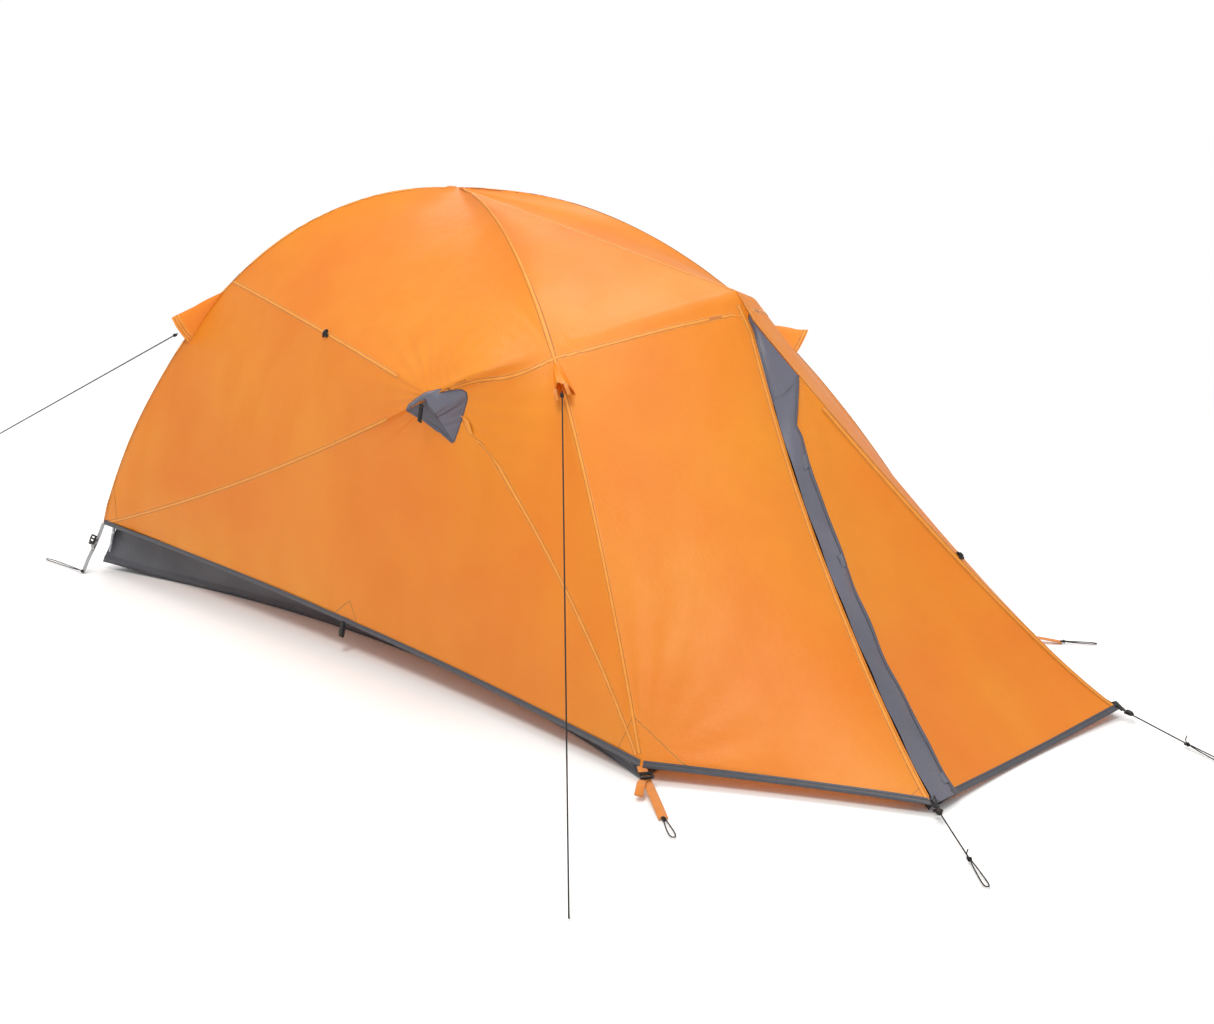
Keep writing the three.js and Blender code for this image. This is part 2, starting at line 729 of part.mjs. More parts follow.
function cornerWebbing(hand, end, corner, stake, lockShare, cloth) {
  const away = stake.clone().sub(corner).setZ(0).normalize();
  const start = corner.clone().addScaledVector(away, 9).add(v(0, 0, -6));
  const along = stake.clone().sub(start);
  const across = v(0, 0, 1).cross(along).normalize();
  const points = [0, 0.5, 1].map((share) => mix(start, stake, share));
  add(`strap_${end}_${hand}`, strip(points, across, webbingWidth, webbing), cloth);
  const out = along.clone().cross(across).normalize();
  if (out.z < 0) out.negate();
  const centre = mix(start, stake, lockShare).addScaledVector(out, 3.2);
  const lock = placed(plate(...ladderSize, ladderWindows), centre, along, out);
  add(`ladder_lock_${end}_${hand}`, lock, blackPlastic());
}

for (const side of [-1, 1]) {
  const hand = side < 0 ? 'right' : 'left';
  const rearEnd = v(rearStake.x, side * rearStake.y, 4);
  const frontEnd = v(frontStake.x, side * frontStake.y, 4);
  cornerWebbing(hand, 'rear', rearCorner(side), rearEnd, 0.27, material(colours.strapRear, 0.7, 0));
  cornerWebbing(hand, 'front', frontCorner(side), frontEnd, 0.14,
    material(colours.strapFront, 0.7, 0));
}

// ---------------------------------------------------------------- side loops
const loopShare = 0.505;
for (const side of [-1, 1]) {
  const hem = sideHem(side, loopShare);
  const start = hem.clone().add(v(0, side * 3, -1));
  const end = hem.clone().add(v(0, side * 8, -32));
  const points = [start, mix(start, end, 0.5), end];
  const name = `side_loop_${side < 0 ? 'right' : 'left'}`;
  add(name, strip(points, v(1, 0, 0), 14, webbing), blackPlastic());
}

// ---------------------------------------------------------------- vestibule stake cords
const cordEnds = { right: v(1832, -567, 3), left: v(1868, 268, 3) };
const lockLength = 18;
for (const [hand, end] of Object.entries(cordEnds)) {
  const corner = slopeSeam(hand === 'right' ? -1 : 1, 1);
  const along = end.clone().sub(corner).normalize();
  const start = corner.clone().addScaledVector(along, 8);
  add(`stake_cord_${hand}`, cord(start, end), blackPlastic());
  const lockCentre = start.clone().addScaledVector(along, 6 + lockLength / 2);
  const lock = plate(13, 12, lockLength, [[-2.4, -2.4, 2.4, 2.4]]);
  const upright = v(0, 0, 1).addScaledVector(along, -along.z).normalize();
  add(`cord_lock_${hand}`, placed(lock, lockCentre, upright, along), blackPlastic());
}

export default tent;
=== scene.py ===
"""Three-pole mountaineering dome tent with a pole-less vestibule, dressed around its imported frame.
Metres, +Z up, +X towards the vestibule, +Y towards the tent's left side."""
import json
import math
from contextlib import contextmanager

import bmesh
import bpy
import numpy as np
from mathutils import Matrix, Vector
from mathutils.bvhtree import BVHTree


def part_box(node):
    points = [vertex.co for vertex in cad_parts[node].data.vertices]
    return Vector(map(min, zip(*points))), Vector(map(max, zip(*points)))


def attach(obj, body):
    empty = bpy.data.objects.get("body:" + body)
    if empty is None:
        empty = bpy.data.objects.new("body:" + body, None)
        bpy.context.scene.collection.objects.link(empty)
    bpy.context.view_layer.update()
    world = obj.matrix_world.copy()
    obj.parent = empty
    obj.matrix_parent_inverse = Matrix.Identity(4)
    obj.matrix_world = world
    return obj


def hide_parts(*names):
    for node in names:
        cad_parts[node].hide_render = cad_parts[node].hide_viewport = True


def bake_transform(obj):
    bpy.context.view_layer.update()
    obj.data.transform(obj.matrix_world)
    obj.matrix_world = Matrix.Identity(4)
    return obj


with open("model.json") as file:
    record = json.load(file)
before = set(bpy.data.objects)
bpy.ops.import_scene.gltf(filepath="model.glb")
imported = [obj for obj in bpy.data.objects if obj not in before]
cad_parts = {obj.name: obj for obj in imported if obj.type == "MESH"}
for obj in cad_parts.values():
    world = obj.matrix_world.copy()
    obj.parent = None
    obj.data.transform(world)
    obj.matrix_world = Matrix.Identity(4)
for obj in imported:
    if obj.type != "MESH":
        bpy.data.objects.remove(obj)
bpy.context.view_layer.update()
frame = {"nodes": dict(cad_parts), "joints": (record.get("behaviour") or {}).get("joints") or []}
NODES = frame["nodes"]
JOINTS = {joint["name"]: joint for joint in frame["joints"]}
SIDES = {"right": -1, "left": 1}
UP = np.array([0.0, 0.0, 1.0])


# ------------------------------------------------------------ small maths
def point(x, y, z):
    return np.array([x, y, z], float)


def lerp(a, b, t):
    return a + (b - a) * t


def unit(vector):
    return vector / np.maximum(np.linalg.norm(vector, axis=-1, keepdims=True), 1e-12)


def smooth(t, start=0.0, end=1.0):
    t = np.clip((t - start) / (end - start), 0, 1)
    return t * t * (3 - 2 * t)


def between(a, b, t):
    """Points on the straight line from a to b."""
    return a + (b - a) * np.asarray(t, float)[..., None]


def lowest(node):
    return np.array(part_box(node)[0])


def highest(node):
    return np.array(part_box(node)[1])


def middle(node):
    return (lowest(node) + highest(node)) / 2


def travelled(path):
    """Distance along a row of points, starting at 0."""
    steps = np.linalg.norm(np.diff(path, axis=0), axis=1)
    return np.concatenate([[0], np.cumsum(steps)])


def spline(points, count):
    """A smooth row of points through the given ones (Catmull-Rom)."""
    points = np.asarray(points, float)
    padded = np.vstack([2 * points[0] - points[1], points, 2 * points[-1] - points[-2]])
    result = []
    for t in np.linspace(0, len(points) - 1, count):
        k = min(int(t), len(points) - 2)
        a, b, c, d = padded[k:k + 4]
        s = t - k
        result.append(0.5 * (2 * b + (c - a) * s + (2 * a - 5 * b + 4 * c - d) * s ** 2
                             + (3 * b - a - 3 * c + d) * s ** 3))
    return np.array(result)


# ------------------------------------------------------------ the tent's seams, from the frame
APEX = point((highest("fly_rear")[0] + lowest("fly_roof_front")[0]) / 2, 0, highest("fly_rear")[2])
BROW = point(highest("fly_roof_front")[0], 0, highest("vestibule_side_left")[2])
FRONT_HEM = point(highest("fly_lower_side_left")[0], highest("fly_lower_side_left")[1],
                  lowest("fly_lower_side_left")[2])
REAR_HEM = point(lowest("fly_rear_side_left")[0], highest("fly_rear")[1], lowest("fly_rear")[2])
TOE = point(highest("vestibule_side_left")[0], highest("vestibule_door")[1],
            lowest("vestibule_side_left")[2])
VENT = point(0.350, 0.545, 0)
FRONT_POWER, REAR_POWER, REAR_ROUND = 2.28, 2.2, 0.82
BROW_SLOPE = 0.527
REAR_SEAM, BROW_CROSSING, NOSE = 0.596, 0.578, 0.0625
SIDE_HEM_PULL, TOE_HEM_PULL = 0.045, 0.008
LOWER_SEAM_PULL, LOWER_SEAM_SAG, UPPER_SEAM_LIFT = 0.012, -0.028, 0.006


def front_leg(side, t):
    t = np.asarray(t, float)
    return np.stack([lerp(APEX[0], FRONT_HEM[0], t), side * FRONT_HEM[1] * t,
                     lerp(APEX[2], FRONT_HEM[2], t ** FRONT_POWER)], -1)


def rear_leg(side, t):
    t = np.asarray(t, float)
    rise = np.clip(1 - t ** REAR_POWER, 0, 1) ** REAR_ROUND
    return np.stack([lerp(APEX[0], REAR_HEM[0], t), side * REAR_HEM[1] * t,
                     lerp(REAR_HEM[2], APEX[2], rise)], -1)


def brow_plan():
    crossing = front_leg(1, BROW_CROSSING)
    plan = [(BROW[0], 0), (0.690, 0.176), crossing[:2], (0.462, 0.500), VENT[:2]]
    return np.array([(x, y, BROW[2] + BROW_SLOPE * (x - BROW[0])) for x, y in plan])


BROW_ARCH = spline(brow_plan(), 401)


def brow(side, t):
    """The brow arch: 0 in the middle, 0.5 at the front leg, 1 at the side vent."""
    spots = np.asarray(t, float) * (len(BROW_ARCH) - 1)
    row = np.stack([np.interp(spots, np.arange(len(BROW_ARCH)), BROW_ARCH[:, k])
                    for k in range(3)], -1)
    return row * point(1, side, 1)


def slope_seam(side, t):
    """The zip seam on the right, the ridge on the left, from the brow down to the vestibule's hem."""
    t = np.asarray(t, float)
    power, hollow = (1.2, 0.06) if side < 0 else (1.15, 0.0)
    spread = np.clip((t - NOSE) / (1 - NOSE), 0, 1)
    height = (1 - t) ** power - hollow * 6.75 * t * (1 - t) ** 2
    return np.stack([lerp(BROW[0], TOE[0], t), side * TOE[1] * spread,
                     lerp(TOE[2], BROW[2], height)], -1)


def bowed(a, b, t, pull, lift=0.0):
    t = np.asarray(t, float)
    belly = 4 * t * (1 - t)
    row = between(a, b, t)
    row[..., 1] -= np.sign(a[1] + b[1]) * pull * belly
    row[..., 2] += lift * belly
    return row


def upper_seam(side, t):
    return bowed(rear_leg(side, REAR_SEAM), brow(side, 1), t, 0, UPPER_SEAM_LIFT)


def lower_seam(side, t):
    return bowed(rear_leg(side, 1), brow(side, 1), t, LOWER_SEAM_PULL, LOWER_SEAM_SAG)


def side_hem(side, t):
    return bowed(rear_leg(side, 1), front_leg(side, 1), t, SIDE_HEM_PULL)


def toe_hem(side, t):
    return bowed(front_leg(side, 1), slope_seam(side, 1), t, TOE_HEM_PULL)


def rear_hem(t):
    t = np.asarray(t, float)
    belly = 4 * t * (1 - t)
    return between(rear_leg(-1, 1), rear_leg(1, 1), t) + belly[..., None] * point(0.040, 0, 0.012)


# ------------------------------------------------------------ meshes
def make_object(name, vertices, faces, uvs):
    mesh = bpy.data.meshes.new(name)
    mesh.from_pydata(np.asarray(vertices).tolist(), [], faces)
    layer = mesh.uv_layers.new(name="cloth")
    corners = np.empty(len(mesh.loops), np.int32)
    mesh.loops.foreach_get("vertex_index", corners)
    layer.data.foreach_set("uv", np.asarray(uvs)[corners].astype(np.float32).ravel())
    mesh.validate()
    mesh.polygons.foreach_set("use_smooth", [True] * len(mesh.polygons))
    obj = bpy.data.objects.new(name, mesh)
    bpy.context.scene.collection.objects.link(obj)
    return obj


def grid_faces(rows, columns, offset=0, closed=False):
    """Quads over a grid of points; closed joins the last column to the first."""
    faces = []
    for i in range(rows - 1):
        for j in range(columns if closed else columns - 1):
            k = (j + 1) % columns
            faces.append((offset + i * columns + j, offset + i * columns + k,
                          offset + (i + 1) * columns + k, offset + (i + 1) * columns + j))
    return faces


def grid_uvs(grid):
    """Distances over a grid of points, in metres, so that a weave has the same scale everywhere."""
    down = np.linalg.norm(np.diff(grid, axis=0), axis=2).mean(1)
    over = np.linalg.norm(np.diff(grid, axis=1), axis=2).mean(0)
    v = np.concatenate([[0], np.cumsum(down)])
    u = np.concatenate([[0], np.cumsum(over)])
    u = u - u[-1] / 2
    return np.stack(np.meshgrid(u, v), -1).reshape(-1, 2)


def sheet(name, grid):
    rows, columns = grid.shape[:2]
    return make_object(name, grid.reshape(-1, 3), grid_faces(rows, columns), grid_uvs(grid))


def joined(name, objects):
    """One object out of several; the first one's materials come first."""
    bpy.ops.object.select_all(action="DESELECT")
    for obj in objects:
        obj.select_set(True)
    bpy.context.view_layer.objects.active = objects[0]
    bpy.ops.object.join()
    objects[0].name = objects[0].data.name = name
    return objects[0]


@contextmanager
def editing(obj):
    """The faces of an object to change; they are written back afterwards."""
    work = bmesh.new()
    work.from_mesh(obj.data)
    yield work
    work.to_mesh(obj.data)
    work.free()


def weld(obj, distance, outward_from=None):
    """Merges touching vertices and turns the faces away from the given point."""
    with editing(obj) as work:
        bmesh.ops.remove_doubles(work, verts=work.verts, dist=distance)
        bmesh.ops.recalc_face_normals(work, faces=work.faces)
        if outward_from is not None:
            centre = Vector(outward_from)
            score = sum((f.calc_center_median() - centre).normalized().dot(f.normal) for f in work.faces)
            if score < 0:
                bmesh.ops.reverse_faces(work, faces=work.faces)
    return obj


SETTLE_ROUNDS = 1200


def relaxed(grid):
    """Stretched cloth: every inner point settles at the average of its four neighbours."""
    for _ in range(SETTLE_ROUNDS):
        grid[1:-1, 1:-1] = 0.25 * (grid[:-2, 1:-1] + grid[2:, 1:-1] + grid[1:-1, :-2] + grid[1:-1, 2:])
    return grid


def panel(left, right, start, end, rows, columns):
    """Taut cloth between four edges. left and right run with the rows, start and end across them."""
    u = np.linspace(0, 1, rows + 1)
    w = np.linspace(0, 1, columns + 1)
    down = np.broadcast_to(left(u), (rows + 1, 3)), np.broadcast_to(right(u), (rows + 1, 3))
    over = np.broadcast_to(start(w), (columns + 1, 3)), np.broadcast_to(end(w), (columns + 1, 3))
    u, w = u[:, None, None], w[None, :, None]
    grid = (1 - w) * down[0][:, None] + w * down[1][:, None]
    grid = grid + (1 - u) * over[0][None] + u * over[1][None]
    grid -= (1 - u) * ((1 - w) * down[0][0] + w * down[1][0])
    grid -= u * ((1 - w) * down[0][-1] + w * down[1][-1])
    return relaxed(grid)


def sweep(name, path, section, across=UP):
    """A solid: a section of (across, out) points along a path. across says which way its width lies."""
    path = np.asarray(path, float)
    along = unit(np.gradient(path, axis=0))
    hint = np.broadcast_to(np.asarray(across, float), path.shape)
    width = unit(hint - along * np.sum(hint * along, axis=1, keepdims=True))
    out = np.cross(width, along)
    section = np.asarray(section, float)
    if section.ndim == 2:
        section = np.broadcast_to(section, (len(path), *section.shape))
    rings = path[:, None] + width[:, None] * section[:, :, :1] + out[:, None] * section[:, :, 1:]
    count = section.shape[1]
    last = (len(path) - 1) * count
    faces = grid_faces(len(path), count, closed=True)
    faces += [tuple(range(count))[::-1], tuple(range(last, last + count))]
    round_it = travelled(np.asarray(section[0]))
    uv = np.stack(np.meshgrid(round_it, travelled(path)), -1).reshape(-1, 2)[:, ::-1]
    obj = make_object(name, rings.reshape(-1, 3), faces, uv)
    with editing(obj) as work:
        bmesh.ops.recalc_face_normals(work, faces=work.faces)
    return obj


def circle(radius, sides=10):
    angle = np.linspace(0, 2 * math.pi, sides, endpoint=False)
    return np.stack([radius * np.cos(angle), radius * np.sin(angle)], -1)


def band(width, thickness):
    """Cross-section of webbing: flat, with rounded edges."""
    w, h = width / 2, thickness / 2
    return np.array([(-w + h, -h), (0, -h), (w - h, -h), (w, 0), (w - h, h), (0, h), (-w + h, h), (-w, 0)])


def side_hint(path):
    """A width direction for a round cord, never along the cord."""
    along = unit(path[-1] - path[0])
    return UP if abs(along[2]) < 0.9 else point(1, 0, 0)


def cord(name, path, radius, sides=10):
    path = np.asarray(path, float)
    return sweep(name, path, circle(radius, sides), side_hint(path))


# ------------------------------------------------------------ node materials
class Look:
    """A node material under construction. Sockets and numbers may be mixed freely."""

    def __init__(self, name):
        self.material = bpy.data.materials.new(name)
        self.material.use_nodes = True
        self.tree = self.material.node_tree
        self.shader = self.tree.nodes["Principled BSDF"]
        self.output = self.tree.nodes["Material Output"]

    def node(self, kind, inputs=None, **properties):
        node = self.tree.nodes.new("ShaderNode" + kind)
        for key, value in properties.items():
            setattr(node, key, value)
        for key, value in (inputs or {}).items():
            self.feed(node.inputs[key], value)
        return node

    def feed(self, socket, value):
        if isinstance(value, bpy.types.NodeSocket):
            self.tree.links.new(value, socket)
        else:
            socket.default_value = value

    def maths(self, operation, a, b=0.0):
        return self.node("Math", {0: a, 1: b}, operation=operation).outputs[0]

    def times(self, a, b):
        return self.maths("MULTIPLY", a, b)

    def plus(self, a, b):
        return self.maths("ADD", a, b)

    def wave(self, where, period):
        """Runs from -1 to 1 and back over every period."""
        return self.maths("SINE", self.times(where, 2 * math.pi / period))

    def ranged(self, value, low, high, to_low=0.0, to_high=1.0):
        node = self.node("MapRange", {"Value": value, "From Min": low, "From Max": high,
                                      "To Min": to_low, "To Max": to_high})
        return node.outputs[0]

    def mixed(self, share, a, b):
        node = self.node("Mix", {0: share}, data_type="RGBA")
        self.feed(node.inputs[6], a)
        self.feed(node.inputs[7], b)
        return node.outputs[2]

    def noise(self, scale, detail, stretch=None):
        where = self.node("TexCoord").outputs["Object"]
        if stretch:
            where = self.node("Mapping", {0: where, 3: stretch}).outputs[0]
        return self.node("TexNoise", {"Vector": where, "Scale": scale, "Detail": detail}).outputs[0]

    def uv(self):
        split = self.node("SeparateXYZ", {0: self.node("UVMap", uv_map="cloth").outputs[0]})
        return split.outputs[0], split.outputs[1]

    def lines(self, where, spacing, width):
        """1 on thin lines a given spacing apart, 0 between them."""
        away = self.maths("PINGPONG", where, spacing / 2)
        return self.ranged(away, width / 2, width, 1, 0)

    def bump(self, height, distance, strength=1.0, after=None):
        node = self.node("Bump", {"Height": height, "Distance": distance, "Strength": strength})
        if after is not None:
            self.feed(node.inputs["Normal"], after)
        return node.outputs[0]

    def finish(self, **inputs):
        for key, value in inputs.items():
            self.feed(self.shader.inputs[key.replace("_", " ")], value)
        return self.material


def colour(hex_value, shade=1.0):
    """Linear colour of an sRGB hex value."""
    parts = [(hex_value >> shift & 255) / 255 for shift in (16, 8, 0)]
    linear = [p / 12.92 if p <= 0.04045 else ((p + 0.055) / 1.055) ** 2.4 for p in parts]
    return (*(shade * p for p in linear), 1)


RIPSTOP, THREAD = 0.0055, 0.0009


def nylon(name, base, deep, glow=0.0, roughness=0.42, crinkle=1.0, sheen=0.12):
    """Coated ripstop cloth: thin grid of thicker threads, soft crinkles, light shining through."""
    look = Look(name)
    u, v = look.uv()
    grid = look.maths("MAXIMUM", look.lines(u, RIPSTOP, 0.0009), look.lines(v, RIPSTOP, 0.0009))
    threads = look.plus(look.lines(u, THREAD, 0.0005), look.lines(v, THREAD, 0.0005))
    cloudy = look.noise(2.2, 4)
    streaks = look.noise(9, 5, stretch=(1, 1, 0.25))
    tint = look.mixed(look.ranged(cloudy, 0.35, 0.7), colour(base), colour(deep))
    tint = look.mixed(look.ranged(streaks, 0.45, 0.75, 0, 0.35), tint, colour(deep, 0.93))
    tint = look.mixed(look.times(grid, 0.16), tint, colour(deep, 0.8))
    height = look.plus(look.times(grid, 0.6), look.times(threads, 0.2))
    soft = look.bump(look.noise(14, 3), 0.004 * crinkle, 0.5)
    fine = look.bump(look.noise(75, 4), 0.0009 * crinkle, 0.5, after=soft)
    weave = look.bump(height, 0.00022, 0.7, after=fine)
    sheen_level = look.ranged(streaks, 0.3, 0.7, roughness - 0.05, roughness + 0.1)
    look.finish(Base_Color=tint, Roughness=sheen_level, Normal=weave, Sheen_Weight=sheen,
                Sheen_Roughness=0.4, Sheen_Tint=colour(base))
    if glow:
        through = look.node("BsdfTranslucent", {"Color": look.mixed(0.5, tint, colour(deep)),
                                                "Normal": weave})
        blend = look.node("MixShader", {0: glow, 1: look.shader.outputs[0], 2: through.outputs[0]})
        look.feed(look.output.inputs["Surface"], blend.outputs[0])
    return look.material


def sewn(name, base, deep, rows, thread, pitch=0.0032):
    """Cloth strip with rows of stitches at given distances from its middle line."""
    look = Look(name)
    along, across = look.uv()[::-1]
    tint = look.mixed(look.ranged(look.noise(60, 3), 0.35, 0.7, 0, 0.6), colour(base), colour(deep))
    stitch, hollow = 0.0, 0.0
    for row in rows:
        away = look.maths("ABSOLUTE", look.maths("SUBTRACT", across, row))
        near = look.ranged(away, 0.0003, 0.0007, 1, 0)
        hollow = look.maths("MAXIMUM", hollow, look.ranged(away, 0.0004, 0.0016, 1, 0))
        gap = look.maths("PINGPONG", along, pitch / 2)
        thread_here = look.times(near, look.ranged(gap, 0.0003, 0.0006, 0, 1))
        stitch = look.maths("MAXIMUM", stitch, thread_here)
    # Painted shade: the cloth beside each stitch row is darkened where its hollow lies; the same hollow also
    # sinks the bump.
    tint = look.mixed(look.times(hollow, 0.75), tint, colour(deep, 0.70))
    tint = look.mixed(stitch, tint, colour(thread))
    height = look.maths("SUBTRACT", look.times(stitch, 0.5), hollow)
    shape = look.bump(look.noise(160, 3), 0.0006, 0.5, after=look.bump(height, 0.0007, 0.9))
    look.finish(Base_Color=tint, Roughness=0.5, Normal=shape)
    return look.material


def webbing_look(name, base, deep, sheen=0.2):
    """Woven tape: ribs across it and two finer edges."""
    look = Look(name)
    along, across = look.uv()
    ribs = look.wave(along, 0.0016)
    twill = look.wave(look.plus(across, look.times(ribs, 0.0002)), 0.0013)
    height = look.plus(look.times(ribs, 0.5), twill)
    # Painted shade: the weave's low ribs and twill lines are coloured darker and its high ones lighter,
    # following the bump height.
    tint = look.mixed(look.ranged(height, -1.2, 1.2), colour(deep), colour(base))
    tint = look.mixed(look.ranged(look.noise(45, 4), 0.5, 0.8, 0, 0.4), tint, colour(deep, 0.8))
    look.finish(Base_Color=tint, Roughness=0.72, Normal=look.bump(height, 0.0003, 0.8),
                Sheen_Weight=sheen)
    return look.material


def cord_look(name, base, fleck, fleck_share):
    """Braided cord with coloured tracer threads."""
    look = Look(name)
    along, around = look.uv()
    one = look.wave(look.plus(along, around), 0.0045)
    two = look.wave(look.maths("SUBTRACT", along, around), 0.0045)
    braid_relief_and_light = look.times(one, two)
    tracer = look.maths("GREATER_THAN", look.noise(420, 1), 1 - fleck_share)
    # Painted light and shade: raised braid strands get a lighter copy of the base colour and the grooves a
    # darker copy.
    tint = look.mixed(look.ranged(braid_relief_and_light, -1, 1), colour(base, 0.6), colour(base, 1.3))
    tint = look.mixed(tracer, tint, colour(fleck))
    look.finish(Base_Color=tint, Roughness=0.65, Normal=look.bump(braid_relief_and_light, 0.0004, 0.8))
    return look.material


def plastic(name, base):
    """Moulded plastic with a fine spark-eroded grain and a few rubbed spots."""
    look = Look(name)
    rubbed = look.ranged(look.noise(240, 4), 0.66, 0.8, 0, 0.3)
    tint = look.mixed(rubbed, colour(base), colour(0x4A4846))
    grain = look.bump(look.noise(900, 2), 0.00012, 0.5)
    level = look.ranged(look.noise(60, 3), 0.3, 0.7, 0.38, 0.52)
    look.finish(Base_Color=tint, Roughness=level, Normal=grain, Specular_IOR_Level=0.35)
    return look.material


def zip_tape_look(name, base, deep):
    """Knitted zip tape: fine herringbone along its length."""
    look = Look(name)
    over, along = look.uv()
    knit_relief_and_shade = look.wave(look.plus(along, look.maths("PINGPONG", over, 0.002)), 0.0014)
    # Painted shade: the knit's grooves are coloured darker than its ridges, following the bump wave.
    tint = look.mixed(look.ranged(knit_relief_and_shade, -1, 1), colour(base), colour(deep))
    look.finish(Base_Color=tint, Roughness=0.75, Normal=look.bump(knit_relief_and_shade, 0.0002, 0.7))
    return look.material


def coil_teeth(name, base):
    """Nylon zip coil: round teeth side by side."""
    look = Look(name)
    along, _ = look.uv()
    teeth = look.wave(along, 0.0015)
    # Painted light and shade: each tooth's crest is a lighter copy of the base colour and the gaps between
    # teeth a darker copy.
    tint = look.mixed(look.ranged(teeth, -1, 1), colour(base, 0.5), colour(base, 1.4))
    look.finish(Base_Color=tint, Roughness=0.45, Normal=look.bump(teeth, 0.0008, 1.0))
    return look.material


def insect_mesh(name):
    """Fine dark netting: a grid of threads over painted shade that stands in for the dim space seen through
    the holes.
    """
    look = Look(name)
    u, v = look.uv()
    net = look.maths("MAXIMUM", look.lines(u, 0.0016, 0.0006), look.lines(v, 0.0016, 0.0006))
    # Painted shade between the threads, lighter grey on the threads themselves.
    tint = look.mixed(net, colour(0x3A3A40), colour(0x6A6A73))
    look.finish(Base_Color=tint, Roughness=0.85, Normal=look.bump(net, 0.0004, 0.8))
    return look.material


def anodised(name, base):
    """Drawn and anodised pole tube: faint lengthwise lines and scuffs."""
    look = Look(name)
    scuff = look.ranged(look.noise(70, 5), 0.55, 0.75)
    tint = look.mixed(scuff, colour(base), colour(0xD8DADD))
    level = look.ranged(look.noise(30, 4), 0.3, 0.7, 0.24, 0.42)
    look.finish(Base_Color=tint, Metallic=0.9, Roughness=level,
                Normal=look.bump(look.noise(500, 2), 0.0001, 0.4))
    return look.material


ORANGE, ORANGE_DEEP = 0xF59A22, 0xF0861A
SEAM_ORANGE, SEAM_DEEP = 0xE08D26, 0xD47D1C
GREY, GREY_DEEP = 0x646472, 0x535460
fly_look = nylon("fly_ripstop", ORANGE, ORANGE_DEEP, glow=0.3)
grey_look = nylon("grey_ripstop", GREY, GREY_DEEP, roughness=0.36, crinkle=1.8, glow=0.06)
tub_look = nylon("floor_cloth", 0x55565C, 0x45464B, roughness=0.4, crinkle=1.6, sheen=0.05)
inner_look = nylon("inner_cloth", 0xE8E4DA, 0xD6D2C8, glow=0.35, roughness=0.7)
seam_look = sewn("fly_seam", SEAM_ORANGE, SEAM_DEEP, (-0.0040, 0.0040), 0x8F4E12)
stitch_look = sewn("patch_stitches", SEAM_ORANGE, SEAM_DEEP, (0.0,), 0x7A4210)
tack_look = sewn("bar_tacks", 0xD87A25, 0xC66C1D, (-0.0015, 0.0015), 0x8A4A17, pitch=0.0012)
grey_seam_look = sewn("grey_edging", 0x5C5D69, 0x4B4C57, (-0.003, 0.003), 0x30313A)
hem_look = sewn("hem_binding", 0x484950, 0x3B3C42, (-0.0105, 0.0105), 0x2D2D32)
tab_look = sewn("flap_tab", 0x62636F, 0x51525E, (-0.008, 0.008), 0x2A2B33)
piping_look = sewn("vent_piping", 0x53545F, 0x43444D, (), 0x2E2F36)
black_look = plastic("black_plastic", 0x141312)
zip_look = zip_tape_look("zip_tape", 0x3C3C44, 0x2A2A30)
coil_look = coil_teeth("zip_coil", 0x1C1B1E)
mesh_look = insect_mesh("vent_netting")
pole_look = anodised("pole_tube", 0x8F9299)
rear_web_look = webbing_look("grey_webbing", 0xB9B9BA, 0x8E8F92)
front_web_look = webbing_look("orange_webbing", 0xF09832, 0xD27018)
black_web_look = webbing_look("black_webbing", 0x1C1A1A, 0x0C0B0B, sheen=0.05)
cord_look_black = cord_look("black_cord", 0x161413, 0x9A5626, 0.16)


def coat(obj, look):
    obj.data.materials.clear()
    obj.data.materials.append(look)


def filed(obj, replaced):
    """Hides the frame nodes a piece stands for."""
    if replaced:
        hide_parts(*replaced)
    return obj


def dress(obj, look, body, slot, *replaced):
    """Gives a piece its material and the body it rides on."""
    coat(obj, look)
    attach(obj, body)
    return filed(obj, replaced)


def hinged(obj, look, body, slot, start, end, *replaced):
    """A piece sewn to the tent along one edge: it gets its material and its transform baked in, and the
    frame nodes it stands for are hidden.
    """
    coat(obj, look)
    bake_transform(obj)
    return filed(obj, replaced)


# ------------------------------------------------------------ the fly
STEPS = 64
INSIDE = point(0, 0, 0.30)


def fly_panels():
    """Every sewn panel of the fly but the vestibule door, as grids that share their seam points."""
    rear_rows = np.concatenate([REAR_SEAM * np.linspace(0, 1, STEPS + 1),
                                lerp(REAR_SEAM, 1, np.linspace(0, 1, STEPS + 1)[1:])])
    by_share = np.linspace(0, 1, 2 * STEPS + 1)
    panels = [panel(lambda u: rear_leg(-1, np.interp(u, by_share, rear_rows)),
                    lambda u: rear_leg(1, np.interp(u, by_share, rear_rows)),
                    lambda w: APEX, rear_hem, 2 * STEPS, STEPS)]
    for side in SIDES.values():
        panels.append(panel(
            lambda u: rear_leg(side, REAR_SEAM * u), lambda u: front_leg(side, BROW_CROSSING * u),
            lambda w: APEX,
            lambda w: np.where(w[:, None] < 0.5, upper_seam(side, np.minimum(2 * w, 1)),
                               brow(side, np.minimum(1.5 - w, 1))),
            STEPS, 2 * STEPS))
        panels.append(panel(
            lambda u: rear_leg(side, lerp(REAR_SEAM, 1, u)), lambda u: brow(side, 1),
            lambda w: upper_seam(side, w), lambda w: lower_seam(side, w), STEPS, STEPS))
        panels.append(panel(
            lambda u: lower_seam(side, 1 - u), lambda u: front_leg(side, lerp(BROW_CROSSING, 1, u)),
            lambda w: brow(side, 1 - 0.5 * w), lambda w: side_hem(side, w), STEPS, STEPS))
        panels.append(panel(
            lambda u: front_leg(side, lerp(BROW_CROSSING, 1, u)), lambda u: slope_seam(side, u),
            lambda w: brow(side, lerp(0.5, 0, w)), lambda w: toe_hem(side, w), STEPS, STEPS))
        panels.append(panel(
            lambda u: front_leg(side, BROW_CROSSING * u), lambda u: between(APEX, BROW, u),
            lambda w: APEX, lambda w: brow(side, 0.5 * (1 - w)), STEPS, STEPS))
    return panels


